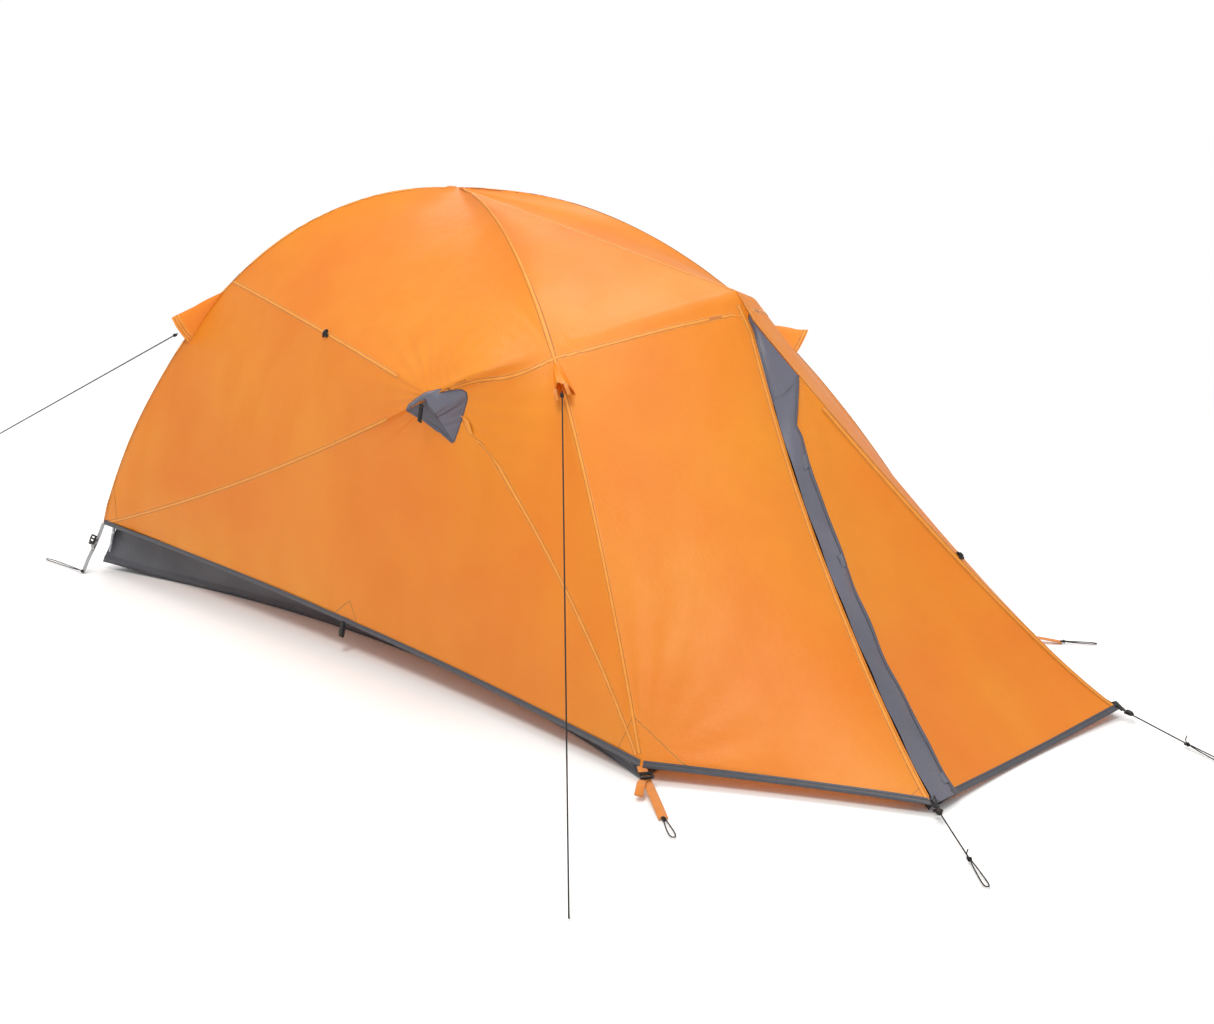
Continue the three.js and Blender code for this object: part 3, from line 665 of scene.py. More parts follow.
def pull_points():
    """Where seams gather the cloth: place, reach of the gathers, their height and how many."""
    spots = []
    for side in SIDES.values():
        spots += [(brow(side, 1), 0.12, 0.0036, 26), (rear_leg(side, 1), 0.15, 0.0036, 22),
                  (front_leg(side, 1), 0.13, 0.0034, 24), (rear_leg(side, REAR_SEAM), 0.06, 0.0016, 18),
                  (front_leg(side, BROW_CROSSING), 0.06, 0.0018, 20),
                  (side_hem(side, 0.505), 0.05, 0.0026, 18), (slope_seam(side, 1), 0.06, 0.0006, 14),
                  (slope_seam(side, NOSE), 0.05, 0.0020, 20)]
    return spots


def gathered(obj):
    """Raises small gathers that radiate from each pull point, and slow billows between the seams."""
    mesh = obj.data
    count = len(mesh.vertices)
    spots, normals = np.empty(3 * count), np.empty(3 * count)
    mesh.vertices.foreach_get("co", spots)
    mesh.vertices.foreach_get("normal", normals)
    spots, normals = spots.reshape(-1, 3), normals.reshape(-1, 3)
    rise = 0.0012 * np.sin(9 * spots[:, 0] + 5 * spots[:, 2]) * np.sin(11 * spots[:, 1] + 7 * spots[:, 2])
    for index, (anchor, reach, height, folds) in enumerate(pull_points()):
        offset = spots - anchor
        away = np.linalg.norm(offset, axis=1)
        out = unit(anchor - INSIDE)
        first = unit(np.cross(out, UP))
        second = np.cross(out, first)
        angle = np.arctan2(offset @ second, offset @ first)
        wave = np.sin(folds * angle + index) * (0.65 + 0.35 * np.sin(5 * angle + 2 * index))
        share = away / reach
        rise += height * wave * np.minimum(1.0, 1.6 * share) * share * np.exp(1 - 1.3 * share) * 0.7
    spots += normals * rise[:, None]
    mesh.vertices.foreach_set("co", spots.ravel())
    mesh.update()


fly = joined("fly_canopy", [sheet("fly", grid) for grid in fly_panels()])
weld(fly, 0.0006, INSIDE)
gathered(fly)
fly_panel_nodes = [name for name in NODES if name.startswith(("fly_", "vestibule_side_"))]
dress(fly, fly_look, "tent", "fly_fabric", *fly_panel_nodes)


def surface_of(obj):
    work = bmesh.new()
    work.from_mesh(obj.data)
    tree = BVHTree.FromBMesh(work)
    work.free()
    return tree


FLY_SURFACE = surface_of(fly)


def on_cloth(spot, surface=FLY_SURFACE):
    """Nearest point of the cloth, and the way out of the tent there."""
    place, normal, _, _ = surface.find_nearest(Vector(spot))
    normal = np.array(normal)
    outward = np.array(place) - INSIDE
    return np.array(place), normal if normal @ outward > 0 else -normal


def resampled(path, spacing):
    far = travelled(path)
    count = max(3, int(round(far[-1] / spacing)) + 1)
    at = np.linspace(0, far[-1], count)
    return np.stack([np.interp(at, far, path[:, k]) for k in range(3)], -1)


def laid_grid(path, width, lift, columns=4, surface=FLY_SURFACE, spacing=0.010):
    """A strip of cloth lying on the fly along a path; width may change along it."""
    path = resampled(np.asarray(path, float), spacing)
    along = unit(np.gradient(path, axis=0))
    widths = np.broadcast_to(width, len(path)) if np.ndim(width) == 0 else np.interp(
        np.linspace(0, 1, len(path)), np.linspace(0, 1, len(width)), width)
    rows = []
    for spot, way, wide in zip(path, along, widths):
        _, normal = on_cloth(spot, surface)
        over = unit(np.cross(way, normal))
        row = []
        for share in np.linspace(-1, 1, columns + 1):
            place, out = on_cloth(spot + over * share * wide / 2, surface)
            row.append(place + out * (0.0003 + lift * (1 - share ** 4)))
        rows.append(row)
    return np.array(rows)


def laid(name, path, width, look, slot, lift, **options):
    return dress(sheet(name, laid_grid(path, width, lift, **options)), look, "tent", slot)


SEAM_WIDTH, SEAM_LIFT = 0.0125, 0.0008
T = np.linspace(0, 1, 90)


def brow_seam(side):
    """The sleeve's seam under the brow: it drops away from the arch towards the nose."""
    drop = np.interp(T, [0, 0.5, 1], [0.066, 0.034, 0.020])
    out = np.stack([0 * T + 0.3, side * 0.5 * T, 0 * T], -1)
    return brow(side, 0.92 * T) - drop[:, None] * UP + 0.012 * out


def front_corner_seam(side):
    """The second seam of the lower side, from the vent down to the front corner."""
    row = between(brow(side, 1), front_leg(side, 1), lerp(0.07, 0.97, T))
    row[:, 0] += 0.03 * 4 * T * (1 - T)
    return row


for hand, side in SIDES.items():
    seams = {
        "front_leg_upper": front_leg(side, lerp(0.015, BROW_CROSSING, T)),
        "front_leg_lower": front_leg(side, lerp(BROW_CROSSING, 0.99, T)),
        "rear_leg": rear_leg(side, lerp(0.015, 0.99, T)),
        "upper_side": upper_seam(side, lerp(0.0, 0.86, T)),
        "lower_side": lower_seam(side, lerp(0.02, 0.89, T)),
        "front_corner": front_corner_seam(side),
        "brow": brow_seam(side),
        "slope": slope_seam(side, lerp(0.02, 0.982, T)) + point(0, 0.009 * side, 0),
    }
    strips = [laid(f"seam_{key}_{hand}", path, SEAM_WIDTH, seam_look, "fly_fabric", SEAM_LIFT)
              for key, path in seams.items()]
    dress(joined(f"side_seams_{hand}", strips), seam_look, "tent", "fly_fabric")

laid("seam_roof_middle", between(APEX, BROW, lerp(0.02, 0.99, T)), SEAM_WIDTH, seam_look,
     "fly_fabric", SEAM_LIFT)


# ------------------------------------------------------------ the vestibule's front
DOOR_TOP, DOOR_BOTTOM = 0.18, 0.997
HOOD_TOP = 0.045
FLAP_ROWS = (0.18, 0.21, 0.24, 0.262, 0.30, 0.62, 1.0)
FLAP_WIDTHS = (0.104, 0.077, 0.052, 0.061, 0.061, 0.070, 0.086)
DOWN_FRONT = lerp(DOOR_TOP, DOOR_BOTTOM, np.linspace(0, 1, 90))


def front_width(t):
    return np.linalg.norm(slope_seam(1, t) - slope_seam(-1, t), axis=-1)


FRONT_ACROSS = unit((slope_seam(1, DOWN_FRONT) - slope_seam(-1, DOWN_FRONT)).mean(0))
FRONT_DOWN = unit(slope_seam(-1, DOOR_BOTTOM) - slope_seam(-1, DOOR_TOP))
FRONT_OUT = unit(np.cross(FRONT_DOWN, FRONT_ACROSS))
FRONT_OUT = FRONT_OUT * np.sign(FRONT_OUT[2])
ZIP_SIDE = unit(np.cross(FRONT_OUT, FRONT_DOWN))
ZIP_SIDE = ZIP_SIDE * np.sign(ZIP_SIDE @ FRONT_ACROSS)


def flap_edge(t):
    """Width of the storm flap: it narrows where it leaves the fixed hood, and its free edge is wavy."""
    width = np.interp(t, FLAP_ROWS, FLAP_WIDTHS)
    waves = (0.0030 * np.sin(15 * t + 0.6) + 0.0022 * np.sin(33 * t)) * smooth(t, 0.26, 0.34)
    return np.minimum(width + waves, front_width(t) - 0.002)


def front_grid(rows, near, far, columns, lift=lambda t, share: 0.0):
    """Cloth on the vestibule's front. near and far are distances from the zip seam."""
    rows = np.asarray(rows, float)
    share = np.linspace(0, 1, columns + 1)[None, :]
    t = rows[:, None]
    width = front_width(rows)[:, None]
    away = lerp(near(rows)[:, None] + 0 * share, far(rows)[:, None] + 0 * share, share)
    part = away / np.maximum(width, 1e-6)
    sag = -0.022 * 4 * part * (1 - part) * smooth(t, 0.15, 0.6)
    a, b = slope_seam(-1, rows)[:, None], slope_seam(1, rows)[:, None]
    return a + (b - a) * part[..., None] + (sag + lift(t, share))[..., None] * FRONT_OUT


def constant(value):
    return lambda t: value + 0 * t


ridge_middle = slope_seam(1, DOWN_FRONT).mean(0)
zip_middle = slope_seam(-1, DOWN_FRONT).mean(0)
DOOR_BEND = (ridge_middle + 0.004 * ZIP_SIDE, ridge_middle - 0.045 * ZIP_SIDE)
FLAP_BEND = (zip_middle + 0.004 * ZIP_SIDE, zip_middle + 0.030 * ZIP_SIDE)

dress(sheet("nose_cap", front_grid(np.linspace(0, HOOD_TOP, 12), constant(0), front_width, 6)),
      fly_look, "tent", "fly_fabric")
dress(sheet("zip_hood_cloth", front_grid(
    np.linspace(HOOD_TOP, DOOR_TOP + 0.004, 30), constant(0.001), lambda t: front_width(t) - 0.001, 12,
    lambda t, s: 0.0035 * np.sin(math.pi * s) + 0.0016 * np.sin(60 * t + 5 * s) * s * (1 - s))),
    grey_look, "tent", "grey_fabric", "zip_hood")
dress(sheet("zip_hood_edging", front_grid(
    np.linspace(HOOD_TOP + 0.01, DOOR_TOP + 0.004, 20), constant(0.002), constant(0.009), 4,
    lambda t, s: 0.0030 + 0 * s)), grey_seam_look, "tent", "grey_fabric")

door_rows = lerp(DOOR_TOP, DOOR_BOTTOM, np.linspace(0, 1, 120))
door = sheet("vestibule_door_cloth", front_grid(
    door_rows, lambda t: flap_edge(t) - 0.001, front_width, 60,
    lambda t, s: 0.0012 * np.sin(21 * t + 6 * s) * s * (1 - s) * 4))
hinged(door, fly_look, "door", "fly_fabric", *DOOR_BEND, "vestibule_door")
hinged(sheet("door_ridge_seam", front_grid(
    door_rows[10:-2], lambda t: front_width(t) - 0.013, lambda t: front_width(t) - 0.001, 4,
    lambda t, s: 0.0020 - 0.0010 * (2 * s - 1) ** 2)), seam_look, "door", "fly_fabric", *DOOR_BEND)


def flap_lift(t, share):
    """The flap lies on the door and puffs up a little between its tabs."""
    puff = 0.5 + 0.5 * np.sin(26 * t + 1.0)
    return 0.0022 + 0.005 * np.sin(math.pi * np.clip(share, 0, 1)) * puff + 0.0016 * np.sin(
        47 * t + 4 * share)


flap_rows = lerp(DOOR_TOP, DOOR_BOTTOM, np.linspace(0, 1, 150))
hinged(sheet("storm_flap_cloth", front_grid(flap_rows, constant(0.001), flap_edge, 18, flap_lift)),
       grey_look, "flap", "grey_fabric", *FLAP_BEND, "storm_flap")
hinged(sheet("flap_edging", front_grid(
    flap_rows, lambda t: flap_edge(t) - 0.009, lambda t: flap_edge(t) + 0.001, 4,
    lambda t, s: flap_lift(t, 0.9 + 0.1 * s) + 0.0012)), grey_seam_look, "flap", "grey_fabric",
    *FLAP_BEND)
TAB_HALF, TAB_WIDTH = 0.012, 0.020
tabs = [sheet(f"tab_{index}", front_grid(
    np.linspace(t - TAB_HALF, t + TAB_HALF, 10), lambda t: flap_edge(t) - 0.006 - TAB_WIDTH,
    lambda t: flap_edge(t) - 0.006, 6, lambda t, s: flap_lift(t, 0.85 + 0 * s) + 0.0022))
    for index, t in enumerate((0.30, 0.49, 0.955))]
hinged(joined("flap_tabs", tabs), tab_look, "flap", "grey_fabric", *FLAP_BEND)


# ------------------------------------------------------------ zip under the flap
ZIP_FROM_SEAM, ZIP_DEPTH = 0.014, 0.034
SLIDER = middle("zip_slider")
ZIP_AXIS = np.array(JOINTS["zip_slider_travel"]["axis"])


def inward(spot):
    return unit(point(0.55 * spot[0], 0, 0.12) - spot)


def trough(t, share):
    """The zip tape dips under the flap, deepest at the coil, and rises to the door's edge."""
    reach = share * flap_edge(t)
    return -ZIP_DEPTH * smooth(reach, 0.0, ZIP_FROM_SEAM) * (1 - 0.8 * smooth(reach, 0.03, 0.06))


tape = sheet("zip_tape", front_grid(flap_rows, constant(0.002), lambda t: flap_edge(t) + 0.004, 24,
                                    trough))
dress(tape, zip_look, "tent", "grey_fabric")
SLIDER_REACH = JOINTS["zip_slider_travel"]["range_m"][1]
coil_at = lerp(-0.06, SLIDER_REACH + 0.25, np.linspace(0.02, 0.99, 400))
coil_path = SLIDER + ZIP_AXIS * coil_at[:, None]
coil = sweep("zip_coil", coil_path, band(0.0052, 0.0022), ZIP_SIDE)
dress(coil, coil_look, "tent", "black_plastic")


def slab(name, outline, holes, thickness, rounding):
    """Moulded plate in its own XY plane with rounded edges and windows."""
    curve = bpy.data.curves.new(name, "CURVE")
    curve.dimensions = "2D"
    curve.fill_mode = "BOTH"
    curve.extrude = thickness / 2 - rounding
    curve.bevel_depth = rounding
    curve.bevel_resolution = 2
    curve.offset = -rounding
    for loop in [outline, *holes]:
        line = curve.splines.new("POLY")
        line.points.add(len(loop) - 1)
        for knot, (x, y) in zip(line.points, loop):
            knot.co = (x, y, 0, 1)
        line.use_cyclic_u = True
    shape = bpy.data.objects.new(name, curve)
    bpy.context.scene.collection.objects.link(shape)
    bpy.context.view_layer.update()
    mesh = bpy.data.meshes.new_from_object(shape)
    bpy.data.objects.remove(shape)
    mesh.name = name
    obj = bpy.data.objects.new(name, mesh)
    bpy.context.scene.collection.objects.link(obj)
    return weld(obj, 1e-6)


CORNER_STEPS = 5


def rounded(width, height, corner, narrow=1.0):
    """Outline of a rounded rectangle; its far end is narrower by the given share."""
    w, h = width / 2 - corner, height / 2 - corner
    loop = []
    for x, y, start in ((w * narrow, h, 0), (-w * narrow, h, 90), (-w, -h, 180), (w, -h, 270)):
        for k in range(CORNER_STEPS + 1):
            angle = math.radians(start + 90 * k / CORNER_STEPS)
            loop.append((x + corner * math.cos(angle), y + corner * math.sin(angle)))
    return loop


def set_in(obj, origin, along, out):
    """Moves a piece made in its own axes: Y goes along, Z goes out."""
    y = unit(np.asarray(along, float))
    z = unit(out - y * (out @ y))
    x = np.cross(y, z)
    basis = Matrix([[x[k], y[k], z[k], origin[k]] for k in range(3)] + [[0, 0, 0, 1]])
    obj.data.transform(basis)
    return obj


SLIDER_OUT = -inward(SLIDER)
slider = joined("zip_slider_body", [
    set_in(slab("slider_plate", rounded(0.0095, 0.0145, 0.0022, narrow=0.55), [], 0.0018, 0.0006),
           SLIDER + SLIDER_OUT * h, ZIP_AXIS, SLIDER_OUT) for h in (-0.0022, 0.0022)] + [
    sweep("slider_bridge", SLIDER + spline([-0.005 * ZIP_AXIS + 0.003 * SLIDER_OUT,
                                            0.0062 * SLIDER_OUT, 0.005 * ZIP_AXIS + 0.003 * SLIDER_OUT],
                                           12), band(0.003, 0.0012), np.cross(ZIP_AXIS, SLIDER_OUT)),
    sweep("slider_post", SLIDER + np.outer(np.linspace(-0.0022, 0.0022, 5), SLIDER_OUT),
          circle(0.0013), ZIP_AXIS)])
dress(slider, black_look, "slider", "black_plastic", "zip_slider")
PULL = middle("zip_pull")
pull = joined("zip_pull_tab", [
    set_in(slab("pull_plate", rounded(0.0062, 0.013, 0.0022), [rounded(0.0026, 0.003, 0.001)], 0.0018,
                0.0005), PULL + 0.004 * ZIP_AXIS, ZIP_AXIS, SLIDER_OUT),
    cord("pull_loop", PULL + spline([-0.002 * ZIP_AXIS + 0.0012 * ZIP_SIDE,
                                     -0.009 * ZIP_AXIS + 0.0022 * ZIP_SIDE, -0.0118 * ZIP_AXIS,
                                     -0.009 * ZIP_AXIS - 0.0022 * ZIP_SIDE,
                                     -0.002 * ZIP_AXIS - 0.0012 * ZIP_SIDE], 24), 0.0009, 8)])
dress(pull, black_look, "pull", "black_plastic", "zip_pull")


# ------------------------------------------------------------ hem bindings
BINDING = 0.0135
BINDING_LIFT = 0.0013


def hem_grid(path, surface=FLY_SURFACE, up_hint=UP):
    """A tape folded round a hem: down the outside, round the edge and up the inside."""
    path = resampled(path, 0.012)
    along = unit(np.gradient(path, axis=0))
    rows = []
    for spot, way in zip(path, along):
        _, out = on_cloth(spot + 0.004 * up_hint, surface)
        up = np.cross(out, way)
        up = unit(up * np.sign(up @ up_hint))
        outer = []
        for rise in (BINDING, BINDING / 2, 0.0):
            edge = spot + up * rise
            cloth, _ = on_cloth(edge, surface)
            outer.append(edge + out * (max(0.0, (cloth - edge) @ out) + BINDING_LIFT))
        behind = [spot + up * rise - out * BINDING_LIFT for rise in (0.0, BINDING / 2, BINDING)]
        rows.append([*outer, spot - up * BINDING_LIFT, *behind])
    return np.array(rows)


hem_paths = {"rear": rear_hem(lerp(0.004, 0.996, T))}
for hand, side in SIDES.items():
    hem_paths[f"side_{hand}"] = side_hem(side, lerp(0.003, 0.997, T))
    hem_paths[f"toe_{hand}"] = toe_hem(side, lerp(0.003, 0.997, T))
for key, path in hem_paths.items():
    dress(sheet(f"hem_{key}", hem_grid(path)), hem_look, "tent", "grey_fabric")
DOOR_SURFACE = surface_of(door)


def front_row(near, far):
    """Points along the vestibule's front hem between two distances from the zip."""
    return front_grid([DOOR_BOTTOM], constant(near), constant(far), 40)[0]


hem_up = -FRONT_DOWN
flap_end = float(flap_edge(np.array(DOOR_BOTTOM)))
hinged(sheet("hem_flap", hem_grid(front_row(0.001, flap_end) + 0.003 * FRONT_OUT, DOOR_SURFACE, hem_up)),
       hem_look, "flap", "grey_fabric", *FLAP_BEND)
hinged(sheet("hem_door", hem_grid(front_row(flap_end, float(front_width(DOOR_BOTTOM)) - 0.002),
                                  DOOR_SURFACE, hem_up)), hem_look, "door", "grey_fabric", *DOOR_BEND)


# ------------------------------------------------------------ side vents
VENT_SEWN = [(-0.090, -0.007, -0.044), (-0.064, -0.003, -0.021), (-0.011, -0.008, 0.008),
             (0.036, -0.020, 0.015), (0.069, -0.043, 0.012), (0.046, -0.050, -0.046),
             (0.020, -0.048, -0.106)]
VENT_ARC = [(-0.086, -0.004, -0.042), (-0.047, 0.004, -0.024), (-0.010, 0.006, -0.012),
            (0.002, -0.008, -0.032), (0.004, -0.023, -0.056), (0.018, -0.046, -0.104)]
VENT_COLUMNS, VENT_ROWS = 60, 14


def vent(hand, side):
    """Scoop of grey cloth, sewn down on top and at its front side, open towards the rear and below."""
    end = brow(side, 1)
    mirror = point(1, side, 1)
    outline = end + spline(VENT_SEWN, VENT_COLUMNS) * mirror
    arc = end + spline(VENT_ARC, VENT_COLUMNS) * mirror
    edge = np.array([on_cloth(spot) for spot in outline])
    share = np.linspace(0, 1, VENT_ROWS + 1)[:, None, None]
    ends = np.sin(math.pi * np.linspace(0, 1, VENT_COLUMNS))[None, :, None]
    puff = 0.010 * np.sin(math.pi * share * 0.8) * ends
    grid = edge[:, 0] + 0.0014 * edge[:, 1] + (arc - edge[:, 0]) * share + puff * edge[:, 1]
    cloth = np.array([on_cloth(spot) for spot in grid[-1]])
    sunk = np.sum((grid[-1] - cloth[:, 0]) * cloth[:, 1], axis=1)
    grid[-1] += np.maximum(0, 0.003 - sunk)[:, None] * cloth[:, 1]
    dress(sheet(f"vent_cloth_{hand}", grid), grey_look, "tent", "grey_fabric", f"vent_hood_{hand}")
    dress(cord(f"vent_piping_{hand}", grid[-1], 0.0016, 8), piping_look, "tent", "grey_fabric")
    laid(f"vent_sewn_edge_{hand}", outline, 0.007, grey_seam_look, "grey_fabric", 0.0016)
    foot = between(outline[0], outline[-1], np.linspace(0, 1, VENT_COLUMNS))
    base = np.array([[on_cloth(spot) for spot in lerp(foot, outline, s)] for s in np.linspace(0, 0.98, 10)])
    dress(sheet(f"vent_mesh_{hand}", base[:, :, 0] + 0.0012 * base[:, :, 1]), mesh_look, "tent",
          "inner_fabric")
    laid(f"vent_base_edge_{hand}", foot, 0.012, grey_seam_look, "grey_fabric", 0.0018)


RIB_SECTION = [(-0.0055, -0.001), (0.0055, -0.001), (0.0055, 0.001), (0.0042, 0.0026), (0.0029, 0.001),
               (0.0015, 0.001), (0.0006, 0.0026), (-0.0006, 0.0026), (-0.0015, 0.001), (-0.0029, 0.001),
               (-0.0042, 0.0026), (-0.0055, 0.001)]


STRUT_FOOT, STRUT_TOP = (-0.032, 0.006, -0.058), (-0.021, 0.009, -0.021)


def strut(hand, side):
    """Ribbed prop between the vent's lower edge and its lip."""
    end = brow(side, 1)
    mirror = point(1, side, 1)
    foot, top = end + STRUT_FOOT * mirror, end + STRUT_TOP * mirror
    path = between(foot, top, np.linspace(0, 1, 12))
    taper = 1 - 0.22 * np.abs(np.linspace(-1, 1, 12)) ** 4
    section = np.array(RIB_SECTION)[None] * taper[:, None, None]
    blade = sweep(f"strut_blade_{hand}", path, section, point(-side, 0, 0))
    feet = [set_in(slab(f"strut_foot_{hand}_{k}", rounded(0.013, 0.006, 0.002), [], 0.0032, 0.0008),
                   path[k], top - foot, point(0, side, 0)) for k in (0, -1)]
    dress(joined(f"vent_prop_{hand}", [blade, *feet]), black_look, f"strut_{hand}", "black_plastic",
          f"vent_strut_{hand}")


for hand, side in SIDES.items():
    vent(hand, side)
    strut(hand, side)


# ------------------------------------------------------------ guy-out hoods and guy lines
HOOD_WIDTH, HOOD_CLEAR, HOOD_LEAN = 0.062, 0.010, 0.12
HOOD_RISE, PULLED_RISE = 0.055, 0.030
HOOD_SPANS = {"front": (0.592, 0.645), "rear": (0.625, 0.730)}
LEGS = {"front": front_leg, "rear": rear_leg}


def hood_axes(leg, t):
    centre = leg(t)
    out = -inward(centre)
    out[0] = HOOD_LEAN * centre[0]
    return centre, unit(out), unit(leg(t + 0.01) - leg(t - 0.01))


def guy_hood(end, hand, side):
    """Cloth awning over a leg seam: sewn down at its top and sides, open at its lower lip."""
    def leg(t):
        return LEGS[end](side, t)
    first, last = HOOD_SPANS[end]
    pulled = end == "front" and side < 0
    high, wide, fold = (PULLED_RISE, 0.80, 0.0030) if pulled else (HOOD_RISE, 1.0, 0.0022)
    rows = []
    for share in np.linspace(0, 1, 16):
        centre, out, down = hood_axes(leg, lerp(first, last, share))
        across = unit(np.cross(down, out)) * -side
        half = wide * HOOD_WIDTH / 2 * (0.16 + 0.84 * share)
        row = []
        for place in np.linspace(-1, 1, 25):
            crease = fold * share * math.sin(9 * place + 7 * share)
            rise = HOOD_CLEAR * share + high * share ** 1.1 * (1 - abs(place) ** 1.7) + crease
            spot = centre + across * half * place + out * rise
            cloth, normal = on_cloth(centre + across * half * place)
            row.append(lerp(cloth + 0.001 * normal, spot, 1 - abs(place) ** 8))
        rows.append(row)
    grid = np.array(rows)
    piece = sheet(f"guy_hood_{end}_{hand}_cloth", grid)
    dress(piece, fly_look, "tent", "fly_fabric", f"guy_hood_{end}_{hand}")
    lip = grid[-3:]
    lift = np.array([0.0006, 0.0010, 0.0008])[:, None, None] * hood_axes(leg, last)[1]
    dress(sheet(f"guy_hood_lip_{end}_{hand}", np.swapaxes(lip + lift, 0, 1)), seam_look, "tent",
          "fly_fabric")
    if not pulled:
        return
    _, out, down = hood_axes(leg, last)
    for k, place in enumerate((6, 18)):
        start = grid[-1][place]
        hang = start + 0.030 * down + 0.004 * (k - 0.5) * np.cross(down, out)
        ring = spline([start, lerp(start, hang, 0.5) + 0.007 * out, hang,
                       lerp(start, hang, 0.5) - 0.003 * out, start - 0.003 * out], 24)
        dress(sweep(f"guy_loop_{k}", ring, band(0.008, 0.0012), np.cross(down, out)), front_web_look,
              "tent", "webbing_orange")


for hand, side in SIDES.items():
    for end in LEGS:
        guy_hood(end, hand, side)


def knot(name, centre, along, radius, thickness=0.0016):
    """A tied cord: three tight turns round the line, with a crossing strand."""
    along = unit(along)
    first = unit(np.cross(along, point(0.3, 0.5, 0.8)))
    second = np.cross(along, first)
    angle = np.linspace(0, 6 * math.pi, 60)
    reach = radius * (0.75 + 0.25 * np.cos(0.5 * angle))
    path = (centre + np.outer(np.linspace(-1.4, 1.4, 60) * radius, along)
            + np.outer(reach * np.cos(angle), first) + np.outer(reach * np.sin(angle), second))
    return cord(name, path, thickness, 8)


CORD_RADIUS = 0.0016


def guyline(end, start, finish):
    along = unit(finish - start)
    parts = [cord(f"guy_{end}", np.linspace(start, finish, 60), CORD_RADIUS),
             knot(f"guy_knot_{end}", start + 0.012 * along, along, 0.0034)]
    dress(joined(f"guy_cord_{end}", parts), cord_look_black, f"guyline_{end}", "cord_black",
          f"guyline_{end}")


low, high = lowest("guyline_front"), highest("guyline_front")
guyline("front", point(low[0], high[1], high[2]), point(high[0], low[1], low[2] + CORD_RADIUS))
low, high = lowest("guyline_rear"), highest("guyline_rear")
guyline("rear", point(high[0], high[1], high[2]), point(low[0], low[1], low[2] + CORD_RADIUS))


# ------------------------------------------------------------ corner webbing
WEBBING_WIDTH, WEBBING = 0.020, 0.0016
STAKES = {"rear": (-1.085, 0.606), "front": (1.228, 0.744)}
TAIL_LENGTHS, LOOP_LENGTHS = {"rear": 0.016, "front": 0.055}, {"rear": 0.200, "front": 0.085}


def ladder_lock(name, centre, along, out, body):
    """Curved buckle with two windows, a middle bar and a lifting lip."""
    windows = [[(x, y + shift) for x, y in rounded(0.021, 0.0042, 0.0012)] for shift in (-0.0048, 0.0042)]
    plate = slab(f"{name}_frame", rounded(0.0285, 0.024, 0.0035), windows, 0.0044, 0.0013)
    for vertex in plate.data.vertices:
        vertex.co.z += 0.0016 * (1 - (vertex.co.y / 0.0105) ** 2)
    bars = [sweep(f"{name}_bar{k}", [(-0.0122, y, z), (0, y, z + 0.0003), (0.0122, y, z)],
                  circle(0.0016, 10), UP) for k, (y, z) in enumerate(((-0.0002, 0.0030), (0.0082, 0.0012)))]
    lip = slab(f"{name}_lip", rounded(0.022, 0.010, 0.0035, narrow=0.6), [], 0.0030, 0.0009)
    lip.data.transform(Matrix.Translation((0, 0.0125, 0.0022)) @ Matrix.Rotation(0.5, 4, "X"))
    buckle = joined(name, [plate, *bars, lip])
    return dress(set_in(buckle, centre, along, out), black_look, body, "black_plastic", body)


def strap(name, path, across, width=WEBBING_WIDTH):
    return sweep(name, resampled(np.asarray(path), 0.004), band(width, WEBBING), across)


def corner_strap(end, hand, side):
    """Webbing from a corner of the fly through its buckle to the ground, and where its stake goes."""
    node = f"strap_{end}_{hand}"
    corner = LEGS[end](side, 1)
    stake = point(STAKES[end][0], side * STAKES[end][1], WEBBING)
    start = point(corner[0], corner[1], min(corner[2] - 0.004, highest(node)[2] + 0.004))
    along = unit(stake - start)
    across = unit(np.cross(UP, along))
    out = np.cross(along, across)
    out = out * np.sign(out[2] + 1e-9)
    look, slot = (rear_web_look, "webbing_grey") if end == "rear" else (front_web_look, "webbing_orange")
    body = f"ladder_lock_{end}_{hand}"
    lock_at = middle(body)
    reach = np.linalg.norm(stake - start)
    share = (lock_at - start) @ along
    upper = [start - 0.004 * along + 0.004 * UP, start + 0.5 * share * along, start + share * along]
    lower = [start + share * along, start + (share + 0.02) * along,
             start + lerp(share, reach, 0.6) * along + 0.002 * out, stake + 0.001 * UP]
    pieces = [strap("upper", spline(upper, 20), across), strap("lower", spline(lower, 50), across)]
    threaded = [start + (share + y) * along + z * out for y, z in
                ((-0.0052, 0.0005), (-0.0036, 0.0058), (0.0030, 0.0058), (0.0046, 0.0005))]
    pieces.append(strap("threaded", spline(threaded, 24), across, 0.9 * WEBBING_WIDTH))
    fold = start + (share + 0.003) * along + 0.0016 * out
    length = TAIL_LENGTHS[end]
    beside = side * (1 if end == "front" else -1) * across
    tail = [fold, fold + 0.3 * length * along + 0.002 * out + 0.22 * length * beside,
            fold + 0.65 * length * along + 0.010 * out + 0.35 * length * beside - 0.006 * UP,
            fold + length * along + 0.006 * out + 0.50 * length * beside - 0.012 * UP]
    for spot in tail:
        spot[2] = max(spot[2], 0.004)
    pieces.append(strap("tail", spline(tail, 30), across, 0.9 * WEBBING_WIDTH))
    dress(joined(f"corner_webbing_{end}_{hand}", pieces), look, "tent", slot, node)
    ladder_lock(f"buckle_{end}_{hand}", lock_at + 0.0036 * out, along, out, body)
    return stake, along


def doubled(start, finish, widths):
    """A long loop from start to finish and back. widths holds (share of the way, half width) pairs."""
    beside = unit(np.cross(unit(finish - start), UP))
    out = [start + share * (finish - start) + half * beside for share, half in widths]
    back = [start + share * (finish - start) - half * beside for share, half in widths[::-1]]
    return [start, *out, finish, *back, start + 0.001 * UP]


